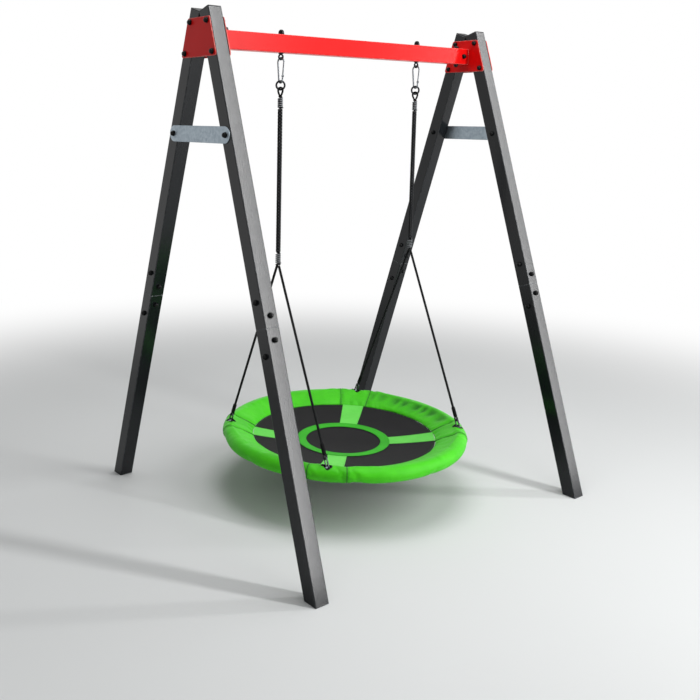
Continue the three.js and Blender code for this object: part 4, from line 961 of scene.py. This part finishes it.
for endName, end in ends.items():
    x, body = end * hangX, f"{endName}_hanger"
    path = thickRopePath(x)
    rope = buildPiece(f"thickRope_{endName}", [thickRopePart(path)], [thickBraid], body,
                      [f"thick_rope_{endName}"], 0)
    loop = buildPiece(f"ropeLoop_{endName}", loopParts(x), [loopBraid], body, (), 60)
    collar = [(0.0098, 0), (ropeSizes["collarRadius"], 0.0008), (ropeSizes["collarRadius"], 0.0042),
              (0.0098, 0.005), (0.0055, 0.005)]
    collar = buildPiece(f"ropeCollar_{endName}", [turnedPart(collar, (x, 0, collarBottomZ), (0, 0, 1), 28)],
                        [blackPlug], body,
                        (), 40)
    upper = buildPiece(f"whippingUpper_{endName}", [whippingPart(x, gripTopZ)], [whipBraid], body,
                       [f"upper_whipping_{endName}"], 0)
    lower = buildPiece(f"whippingLower_{endName}", [whippingPart(x, collarTopZ)], [whipBraid], body,
                       [f"lower_whipping_{endName}"], 0)
    for sideName, side in sides.items():
        tag = f"{endName}_{sideName}"
        path = thinRopePath(x, side)
        relief = braidRelief(strandSizes["carriers"], strandSizes["lay"], strandSizes["relief"])
        strand = tubePart(path, strandSizes["radius"], strandSizes["sides"], (1, 0, 0), relief=relief)
        rope = buildPiece(f"thinRope_{tag}", [strand], [thinBraid], body,
                          [f"thin_rope_{tag}"], 0)
        sleeve = buildPiece(f"ropeSleeve_{tag}", sleeveParts(x, side), [whipBraid, boundTwine], body,
                            (), 60)
        buildPiece(f"seatLink_{tag}", [linkPart(x, side)], [linkWire], body,
                   [f"seat_link_{tag}"])
print("hangers made")

# The seat

coverSizes = {
    "slotCorner": 0.009, "slotReach": (0.2525, 0.345),        # heights between which the slots are cut
    "radius": 0.0308, "rimRadius": 0.400, "rimDrop": 0.020, "rimThickness": 0.007, "slopeRise": 0.005,
    "sectionLength": 0.150, "step": 0.008, "seamDraw": 0.0016, "pressure": 4, "travel": 0.004, "frames": 20,
    "slotWidth": 0.030, "slotLength": 0.044, "slotShift": 0.005,
}
pleatSizes = {"pitch": 0.060, "depth": 0.012, "hollowShare": 0.3,
              "shares": {"right": 1.0, "rear": 0.1, "left": 0.2, "front": 0.1}}
attachAngles = [math.atan2(side * attachY, end * hangX) % (2 * math.pi)
                for end, side in ((1, 1), (-1, 1), (-1, -1), (1, -1))]
arcNames = ["rear", "left", "front", "right"]      # the long way round after each attachment


def coverStations():
    # angles round the seat, the seams among them; each is (angle, seam, arc name, share of the arc)
    half = coverSizes["sectionLength"] / 2 / seatSizes["ringRadius"]
    stations = []
    for i, angle in enumerate(attachAngles):
        after = attachAngles[(i + 1) % 4] + (2 * math.pi if i == 3 else 0)
        spans = [(angle - half, angle + half, None), (angle + half, after - half, arcNames[i])]
        for first, last, arc in spans:
            count = round((last - first) * seatSizes["ringRadius"] / coverSizes["step"])
            for k in range(count):
                stations.append((first + (last - first) * k / count, k == 0, arc, k / count))
    return stations


def coverSection(radius):
    # closed outline across the roll, in (outward, up) from its middle
    rim = coverSizes["rimRadius"] - seatSizes["ringRadius"]
    lip = -coverSizes["rimDrop"] + coverSizes["rimThickness"] / 2
    arc = [(radius * math.cos(t), radius * math.sin(t)) for t in np.radians(np.linspace(-118, 140, 60))]
    middle = ((rim + arc[-1][0]) / 2, (lip + arc[-1][1]) / 2 + coverSizes["slopeRise"] / 2)
    first, last, middle, edge = (np.array(point) for point in (arc[0], arc[-1], middle, (rim, lip)))
    shares = np.linspace(0, 1, 20)
    slope = [(1 - t) ** 2 * last + 2 * t * (1 - t) * middle + t * t * edge for t in shares[1:]]
    below = np.array((rim, lip - coverSizes["rimThickness"]))
    under = [below * (1 - t) + first * t for t in shares[:-1]]
    return np.array([*arc, *slope, *under])


def evenSpacing(outline, step):
    loop = np.vstack([outline, outline[:1]])
    travelled = np.concatenate([[0], np.cumsum(np.linalg.norm(np.diff(loop, axis=0), axis=1))])
    count = round(travelled[-1] / step)
    at = travelled[-1] * np.arange(count) / count
    return np.stack([np.interp(at, travelled, loop[:, k]) for k in (0, 1)], axis=1), at, travelled[-1]


stations = coverStations()
section, sectionPlaces, sectionLength = evenSpacing(coverSection(coverSizes["radius"]), coverSizes["step"])


def ringPoint(angle, outward, up):
    radius = seatSizes["ringRadius"] + outward
    return radius * math.cos(angle), radius * math.sin(angle), seatSizes["height"] + up


def coverGrid():
    points = []
    for angle, seam in (station[:2] for station in stations):
        draw = coverSizes["seamDraw"] if seam else 0
        for outward, up in section:
            length = math.hypot(outward, up)
            scale = 1 - draw / length if outward > -0.06 else 1
            points.append(ringPoint(angle, outward * scale, up * scale))
    return np.array(points).reshape(len(stations), len(section), 3)


coverPoints = coverGrid()
angles = np.array([station[0] for station in stations])
roundPlaces = np.append(angles, angles[0] + 2 * math.pi) * seatSizes["ringRadius"]
coverPart = gridPart(coverPoints, roundPlaces, np.append(sectionPlaces, sectionLength), closedRows=True,
                     capped=False)
coverPart["faces"] = [face[::-1] for face in coverPart["faces"]]
coverPart["places"] = [place for i in range(0, len(coverPart["places"]), 4)
                       for place in coverPart["places"][i:i + 4][::-1]]


def seamCloseness():
    # 1 at a seam, falling to 0 a few centimetres from it
    seams = np.array([station[0] for station in stations if station[1]])
    turn = (angles[:, None] - seams[None] + math.pi) % (2 * math.pi) - math.pi
    apart = np.abs(turn).min(1) * seatSizes["ringRadius"]
    return np.repeat(np.exp(-(apart / 0.011) ** 2), len(section))


# closeness to the seams, later painted as shade beside them
coverPart["edge"] = seamCloseness()
cover = buildPiece("seatCover", [coverPart], [limeCover, blackWebbing], "seat", (), 0,
                   placed=False)


def inflate(piece, held):
    # swells the cover under its own pressure; the held points stay where they are sewn, and the others
    # keep the direction that the simulation gives and no more of its length than the travel
    group = piece.vertex_groups.new(name="sewn")
    group.add([int(i) for i in held], 1.0, "REPLACE")
    before = np.array([v.co for v in piece.data.vertices])
    cloth = piece.modifiers.new("padding", "CLOTH")
    cloth.settings.quality = 6
    cloth.settings.mass = 0.3
    cloth.settings.tension_stiffness = cloth.settings.compression_stiffness = 18
    cloth.settings.shear_stiffness = 6
    cloth.settings.bending_stiffness = 0.4
    cloth.settings.shrink_min = -0.02
    cloth.settings.use_pressure = True
    cloth.settings.uniform_pressure_force = coverSizes["pressure"]
    cloth.settings.vertex_group_mass = "sewn"
    cloth.settings.effector_weights.gravity = 0
    cloth.point_cache.frame_start, cloth.point_cache.frame_end = 1, coverSizes["frames"]
    for step in range(1, coverSizes["frames"] + 1):
        scene.frame_set(step)
    graph = bpy.context.evaluated_depsgraph_get()
    swollen = piece.evaluated_get(graph).to_mesh()
    after = np.array([v.co for v in swollen.vertices])
    piece.evaluated_get(graph).to_mesh_clear()
    piece.modifiers.remove(cloth)
    piece.vertex_groups.remove(group)
    scene.frame_set(1)
    moved = after - before
    far = np.linalg.norm(moved, axis=1, keepdims=True)
    moved *= np.minimum(1, coverSizes["travel"] / np.maximum(far, 1e-9))
    piece.data.vertices.foreach_set("co", (before + moved).astype(np.float32).ravel())
    piece.data.update()
    kept, limited = np.linalg.norm(moved, axis=1), (far > coverSizes["travel"]).mean()
    print("cover swollen by", round(float(kept.mean()) * 1000, 2), "mm on average; simulated",
          round(float(far.mean()) * 1000, 2), "mm; share of its points at the limit", round(float(limited), 3))


def smoothStep(low, high, value):
    share = np.clip((value - low) / (high - low), 0, 1)
    return share * share * (3 - 2 * share)


rimColumns = [k for k, (outward, up) in enumerate(section) if outward < -0.1035]
seamRows = [r for r, station in enumerate(stations) if station[1]]
heldPoints = {r * len(section) + k for r in range(len(stations)) for k in rimColumns}
heldPoints |= {r * len(section) + k for r in seamRows for k in range(len(section))}
inflate(cover, sorted(heldPoints))


def gather(piece):
    # pleats across the inner slope, where the cloth is drawn to the mat's seam
    points = np.array([v.co for v in piece.data.vertices]).reshape(len(stations), len(section), 3)
    phases, places = np.zeros(len(stations)), 0.0
    for r in range(1, len(stations)):
        places += (angles[r] - angles[r - 1]) * seatSizes["ringRadius"] / pleatSizes["pitch"] * 2 * math.pi \
            * (1 + 0.4 * math.sin(places * 0.31 + 1.7 * math.sin(places * 0.11)))
        phases[r] = places
    fade = lambda share: float(smoothStep(0, 0.16, share) * smoothStep(1, 0.95, share))
    strength = np.array([pleatSizes["shares"].get(arc, 0) * fade(share) for arc, share in
                         (station[2:] for station in stations)])
    strength *= 0.78 + 0.22 * np.sin(phases * 0.21 + 2 * np.sin(phases * 0.08))
    outward = section[:, 0]
    slope = smoothStep(0.002, -0.022, outward) * smoothStep(-0.098, -0.030, outward) * (section[:, 1] > -0.03)
    slope *= np.where(sectionPlaces > sectionPlaces[np.argmin(outward)], 0, 1)
    lean = phases[:, None] + 0.9 * (outward[None] + 0.05) / 0.04
    fold = 0.5 - 0.5 * np.cos(lean)
    middle = np.array([ringPoint(angle, -0.045, -0.012) for angle in angles])[:, None]
    inward = unit(middle - points)
    hollow = pleatSizes["hollowShare"]
    pull = strength[:, None] * slope[None] * (hollow + (1 - hollow) * fold)
    points += inward * (pleatSizes["depth"] * pull)[:, :, None]
    piece.data.vertices.foreach_set("co", points.astype(np.float32).ravel())
    # painted shade in the pleats' hollows and beside the seams
    paintedShade = np.maximum(coverPart["edge"] * 0.3, pull.ravel())
    piece.data.attributes["wearAndPaintedLight"].data.foreach_set("value", np.clip(paintedShade, 0, 1).astype(np.float32))
    piece.data.update()
    return points


coverPoints = gather(cover)


def bakeModifiers(piece):
    graph = bpy.context.evaluated_depsgraph_get()
    made = bpy.data.meshes.new_from_object(piece.evaluated_get(graph))
    made.name = piece.data.name + "_made"
    piece.modifiers.clear()
    piece.data = made


smooth = cover.modifiers.new("round", "SUBSURF")
smooth.levels = smooth.render_levels = 1
bakeModifiers(cover)
cover.data.shade_smooth()


hangPoints = [(end, side) for end in (-1, 1) for side in (-1, 1)]


def slotOutline(end, side, grow=0.0):
    half, long = coverSizes["slotWidth"] / 2 + grow, coverSizes["slotLength"] / 2 + grow
    middle = np.array([end * hangX, side * (attachY - coverSizes["slotShift"])])
    corners = [(half, -long), (half, long), (-half, long), (-half, -long)]
    return roundedOutline(corners, coverSizes["slotCorner"] + grow, 6) + middle


def slotCutter():
    parts, rows = [], list(coverSizes["slotReach"])
    for end, side in hangPoints:
        outline = slotOutline(end, side)
        points = np.array([[(x, y, z) for x, y in outline] for z in rows])
        parts.append(gridPart(points, rows, np.linspace(0, 1, len(outline) + 1), material=1))
    return buildPiece("slotCutter", parts, [limeCover, blackWebbing], None, (), 0, placed=False)


surfaceTree = BVHTree.FromPolygons([v.co for v in cover.data.vertices],
                                   [tuple(p.vertices) for p in cover.data.polygons])
cutter = slotCutter()
cut = cover.modifiers.new("slots", "BOOLEAN")
cut.object, cut.operation, cut.solver = cutter, "DIFFERENCE", "EXACT"
bakeModifiers(cover)
bpy.data.objects.remove(cutter)
dress(cover, "seat", ["padded_cover"])
print("cover made,", len(cover.data.polygons), "faces")


def onCover(x, y, lift=0.0):
    hit = surfaceTree.ray_cast(Vector((x, y, 0.5)), Vector((0, 0, -1)))
    return Vector((x, y, hit[0].z + lift))


def bindingPart(end, side):
    # webbing edge sewn round a slot
    path = [onCover(x, y, -0.0004) for x, y in slotOutline(end, side, -0.0012)]
    return tubePart(path, 0.0021, 10, (0, 0, 1), closed=True)


bindings = [bindingPart(end, side) for end, side in hangPoints]
buildPiece("slotBindings", bindings, [blackWebbing], "seat", (), 60)


def stitchParts(path, spacing, length, width, closed=True):
    # short raised stitches along a path; normals come from the path's own list of (point, up)
    points, ups = np.array([p for p, up in path], float), np.array([up for p, up in path], float)
    loop = np.vstack([points, points[:1]]) if closed else points
    travelled = np.concatenate([[0], np.cumsum(np.linalg.norm(np.diff(loop, axis=0), axis=1))])
    upLoop = np.vstack([ups, ups[:1]]) if closed else ups
    parts = []
    for at in np.arange(spacing / 2, travelled[-1] - length, spacing):
        sample = lambda s: np.array([np.interp(s, travelled, loop[:, k]) for k in range(3)])
        start, end, middle = sample(at), sample(at + length), sample(at + length / 2)
        up = unit(np.array([np.interp(at, travelled, upLoop[:, k]) for k in range(3)]))
        side = unit(np.cross(end - start, up)) * width / 2
        top = middle + up * width * 0.45
        ring = np.array([[start, start, start, start],
                         [middle - side, top, middle + side, middle - up * width * 0.5],
                         [end, end, end, end]])
        ring[0] = ring[0] * 0.9 + ring[1] * 0.1
        ring[2] = ring[2] * 0.9 + ring[1] * 0.1
        parts.append(gridPart(ring, [0, length / 2, length], np.linspace(0, width * 3, 5)))
    return parts


def seamPath(row, lift=0.0006):
    # round the section at a seam, just proud of the cloth
    ring = coverPoints[row]
    centre = np.array(ringPoint(angles[row], -0.02, -0.004))
    along = unit(np.roll(ring, -1, 0) - np.roll(ring, 1, 0))
    axis = np.array([-math.sin(angles[row]), math.cos(angles[row]), 0])
    out = unit(np.cross(along, axis))
    out *= np.sign(((ring - centre) * out).sum(1, keepdims=True).mean())
    return [(p + n * lift, n) for p, n in zip(ring, out)]


seamSizes = {"cord": 0.0014, "stitchSpacing": 0.009, "stitchLength": 0.006, "stitchWidth": 0.0014}
seamParts = []
for row in seamRows:
    path = seamPath(row)
    axis = np.array([-math.sin(angles[row]), math.cos(angles[row]), 0])
    seamParts.append(tubePart([p for p, n in path], seamSizes["cord"], 8, axis, closed=True))
buildPiece("coverSeams", seamParts, [darkThread], "seat", (), 60)

stitches = []
for row in seamRows:
    for offset in (-1, 1):
        near = (row + offset) % len(stations)
        stitches += stitchParts(seamPath(near, 0.0004), seamSizes["stitchSpacing"], seamSizes["stitchLength"],
                                seamSizes["stitchWidth"])
buildPiece("coverStitches", stitches, [greenThread], "seat", (), 0)

matSizes = {
    "edge": 0.3997, "edgeZ": 0.230, "sag": 0.035, "thickness": 0.0024, "rings": 46, "steps": 168,
    "bandInner": 0.080, "bandOuter": 0.100, "ringInner": 0.164, "ringOuter": 0.204, "layer": 0.0011,
    "layerLift": 0.0004,
    # spacing, length and width of a stitch; its place in from an edge and its lift
    "stitch": (0.008, 0.0055, 0.0012), "hemStitch": (0.009, 0.006, 0.0014), "stitchInset": 0.004,
    "stitchLift": 0.0002,
}


def matHeight(radius):
    return matSizes["edgeZ"] - matSizes["sag"] * (1 - (radius / matSizes["edge"]) ** 2)


def layeredPart(points, rowPlaces, columnPlaces, thickness, closedColumns):
    # closed thin layer under a grid of points
    under = points - np.array([0, 0, thickness])
    if closedColumns:
        grid = np.concatenate([points, under[::-1]])
        places = np.concatenate([rowPlaces, rowPlaces[-1] + thickness + (rowPlaces[-1] - rowPlaces[::-1])])
        return gridPart(grid, np.append(places, places[-1] + thickness), columnPlaces, closedRows=True,
                        capped=False)
    grid = np.concatenate([points, under[:, ::-1]], axis=1)
    places = np.concatenate([columnPlaces,
                             columnPlaces[-1] + thickness + (columnPlaces[-1] - columnPlaces[::-1])])
    return gridPart(grid, rowPlaces, np.append(places, places[-1] + thickness), closedColumns=True,
                    capped=True)


def annulus(inner, outer, rings, lift, thickness):
    radii = np.linspace(inner, outer, rings)
    turns = np.arange(matSizes["steps"]) * 2 * math.pi / matSizes["steps"]
    points = np.array([[(r * math.cos(t), r * math.sin(t), matHeight(r) + lift) for t in turns]
                       for r in radii])
    around = np.arange(matSizes["steps"] + 1) * 2 * math.pi / matSizes["steps"] * outer
    return layeredPart(points, radii - inner, around, thickness, True)


mat = buildPiece("seatMat",
                 [annulus(0.0008, matSizes["edge"], matSizes["rings"], matSizes["thickness"] / 2,
                          matSizes["thickness"])],
                 [blackMesh], "seat", ["seat_mat"], 60)


def bandHalf(radius):
    # half the width of a band of webbing, a little wider outward
    share = (radius - matSizes["ringOuter"]) / (matSizes["edge"] - matSizes["ringOuter"])
    return (matSizes["bandInner"] + (matSizes["bandOuter"] - matSizes["bandInner"]) * share) / 2


def bandAxes(angle):
    return np.array([math.cos(angle), math.sin(angle)]), np.array([-math.sin(angle), math.cos(angle)])


def bandPart(angle, first, last, lift, thickness):
    rows, columns = 40, 15
    along, across = bandAxes(angle)
    points = []
    for r in np.linspace(first, last, rows):
        half, row = bandHalf(r), []
        for t in np.linspace(-1, 1, columns):
            place = along * r + across * half * t
            row.append((*place, matHeight(np.linalg.norm(place)) + lift))
        points.append(row)
    return layeredPart(np.array(points), np.linspace(0, last - first, rows),
                       np.linspace(0, matSizes["bandOuter"], columns),
                       thickness, False)


topOfMat = matSizes["thickness"] / 2
bands = [bandPart(angle, matSizes["ringInner"] + 0.012, matSizes["edge"] - 0.0006,
                  topOfMat + matSizes["layer"] + matSizes["layerLift"], matSizes["layer"])
         for angle in attachAngles]
bandPiece = buildPiece("matBands", bands, [paleWebbing], "seat", (), 50)
ringLift = topOfMat + 2 * matSizes["layer"] + 2 * matSizes["layerLift"]
ringPiece = buildPiece("matRing",
                       [annulus(matSizes["ringInner"], matSizes["ringOuter"], 8, ringLift,
                                matSizes["layer"])],
                       [greenWebbing], "seat", (), 50)


def circlePath(radius, lift):
    turns = np.linspace(0, 2 * math.pi, 240, endpoint=False)
    return [((radius * math.cos(t), radius * math.sin(t), matHeight(radius) + lift),
             (0, 0, 1)) for t in turns]


def bandEdgePath(angle, sign, inset, lift):
    along, across = bandAxes(angle)
    path = []
    for r in np.linspace(matSizes["ringOuter"] + 0.004, 0.394, 40):
        place = along * r + across * (bandHalf(r) - inset) * sign
        path.append(((*place, matHeight(np.linalg.norm(place)) + lift), (0, 0, 1)))
    return path


matStitches = []
inset, stitchLift = matSizes["stitchInset"], matSizes["stitchLift"]
for radius in (matSizes["ringInner"] + inset, matSizes["ringOuter"] - inset):
    matStitches += stitchParts(circlePath(radius, ringLift + stitchLift), *matSizes["stitch"])
lift = topOfMat + matSizes["layer"] + matSizes["layerLift"] + stitchLift
for angle in attachAngles:
    for sign in (-1, 1):
        matStitches += stitchParts(bandEdgePath(angle, sign, inset, lift), *matSizes["stitch"], closed=False)
stitchPiece = buildPiece("matStitches", matStitches, [greenThread], "seat", (), 0)
hemPath = circlePath(matSizes["edge"] - 0.006, topOfMat + stitchLift)
hemPiece = buildPiece("matHemStitches", stitchParts(hemPath, *matSizes["hemStitch"]), [greenThread],
                      "seat", (), 0)


def seatRingParts():
    turns = np.arange(144) * 2 * math.pi / 144
    radius = seatSizes["ringRadius"]
    path = np.stack([radius * np.cos(turns), radius * np.sin(turns), 0 * turns + seatSizes["height"]], axis=1)
    parts = [tubePart(path, seatSizes["tube"], 20, (0, 0, 1), closed=True)]
    half, wire = seatSizes["stapleHalfWidth"], seatSizes["stapleWire"]
    low, bend = seatSizes["height"] + seatSizes["tube"] / 2, wire * 1.3
    for end, side in hangPoints:
        spot = lambda dx, z: (end * hangX + dx, side * attachY, z)
        corner = lambda sign: [spot(sign * (half - bend + bend * math.sin(t)),
                                    stapleZ - bend + bend * math.cos(t))
                               for t in np.linspace(0, math.pi / 2, 7)]
        route = [spot(-half, low)] + corner(-1)[::-1] + corner(1) + [spot(half, low)]
        parts.append(tubePart(route, wire, 12, (0, 1, 0)))
    return parts


buildPiece("seatTube", seatRingParts(), [galvanisedStrap], "seat", ["seat_ring"], 60)
print("seat made")

# Floor and light

floorSizes = {"half": 14.0, "colour": "#D6D8D8", "z": -0.0005, "fadeStart": 1.6, "fadeEnd": 4.6}


def backgroundRays(tree):
    # 1 for the rays that show the background: camera, glossy and transmission
    path = addNode(tree, "LightPath")
    seen = addNode(tree, "Math", None, {0: path.outputs["Is Camera Ray"], 1: path.outputs["Is Glossy Ray"]},
                   operation="MAXIMUM")
    return addNode(tree, "Math", None, {0: seen, 1: path.outputs["Is Transmission Ray"]},
                   operation="MAXIMUM").outputs[0]


def makeFloor():
    # matt pale studio floor with the faint unevenness of rolled paint; it fades into the white background
    material, tree, shader = startMaterial("painted_studio_floor",
                                           {"Roughness": 0.85, "Specular IOR Level": 0.2})
    place = addNode(tree, "TexCoord").outputs["Object"]
    cloud = addNode(tree, "TexNoise", {"Scale": 1.3, "Detail": 3}, {"Vector": place})
    shade = addNode(tree, "MapRange", {"To Min": 0.985, "To Max": 1.01}, {"Value": cloud.outputs["Fac"]})
    tone = addNode(tree, "HueSaturation", {"Color": toLinear(floorSizes["colour"])}, {"Value": shade})
    tree.links.new(tone.outputs["Color"], shader.inputs["Base Color"])
    distance = addNode(tree, "VectorMath", None, {0: place}, operation="LENGTH")
    far = addNode(tree, "MapRange", {"From Min": floorSizes["fadeStart"], "From Max": floorSizes["fadeEnd"]},
                  {"Value": distance.outputs["Value"]}, interpolation_type="SMOOTHERSTEP")
    seen = addNode(tree, "Math", None, {0: far, 1: backgroundRays(tree)}, operation="MULTIPLY")
    white = addNode(tree, "Emission", {"Color": (1, 1, 1, 1), "Strength": 1})
    mixed = addNode(tree, "MixShader", None, {0: seen, 1: shader, 2: white})
    tree.links.new(mixed.outputs[0], tree.nodes["Material Output"].inputs["Surface"])
    half, z = floorSizes["half"], floorSizes["z"]
    mesh = bpy.data.meshes.new("studioFloor")
    mesh.from_pydata([(-half, -half, z), (half, -half, z), (half, half, z), (-half, half, z)], [],
                     [(0, 1, 2, 3)])
    mesh.materials.append(material)
    floor = bpy.data.objects.new("studioFloor", mesh)
    scene.collection.objects.link(floor)
    floor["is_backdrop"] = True


def makeWorld(strength):
    world = bpy.data.worlds.new("studioWorld")
    world.use_nodes = True
    scene.world = world
    tree = world.node_tree
    tree.nodes.clear()
    level = addNode(tree, "MapRange", {"To Min": strength, "To Max": 1}, {"Value": backgroundRays(tree)})
    back = addNode(tree, "Background", {"Color": (1, 1, 1, 1)}, {"Strength": level})
    addNode(tree, "OutputWorld", None, {"Surface": back})


def addSoftbox(name, place, target, size, power, roll=0):
    data = bpy.data.lights.new(name, "AREA")
    data.shape, data.size, data.size_y = "RECTANGLE", size[0], size[1]
    data.energy = power
    light = bpy.data.objects.new(name, data)
    light.location = place
    facing = (Vector(target) - Vector(place)).to_track_quat("-Z", "Y")
    light.rotation_euler = (facing @ Quaternion((0, 0, 1), math.radians(roll))).to_euler()
    light.visible_camera = False
    scene.collection.objects.link(light)


makeFloor()
makeWorld(0.25)
addSoftbox("stripboxNearLegs", (1.6, -3.2, 3.05), (-0.74, -0.35, 3.05), (0.3, 6.2), 168, roll=-11.4)
addSoftbox("stripboxFarLegs", (3.9, -2.5, 2.6), (0.74, -0.35, 2.6), (0.3, 5.2), 88, roll=-15.6)
addSoftbox("softboxOverhead", (0.1, -0.2, 4.4), (0, 0, 0.6), (2.6, 2.6), 92)
addSoftbox("softboxFill", (-4.2, -2.6, 2.4), (0, 0, 1.0), (1.8, 1.8), 8)
print("light made")

visualBox = [list(corner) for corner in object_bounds()]
print("sizes", cadBox, visualBox)
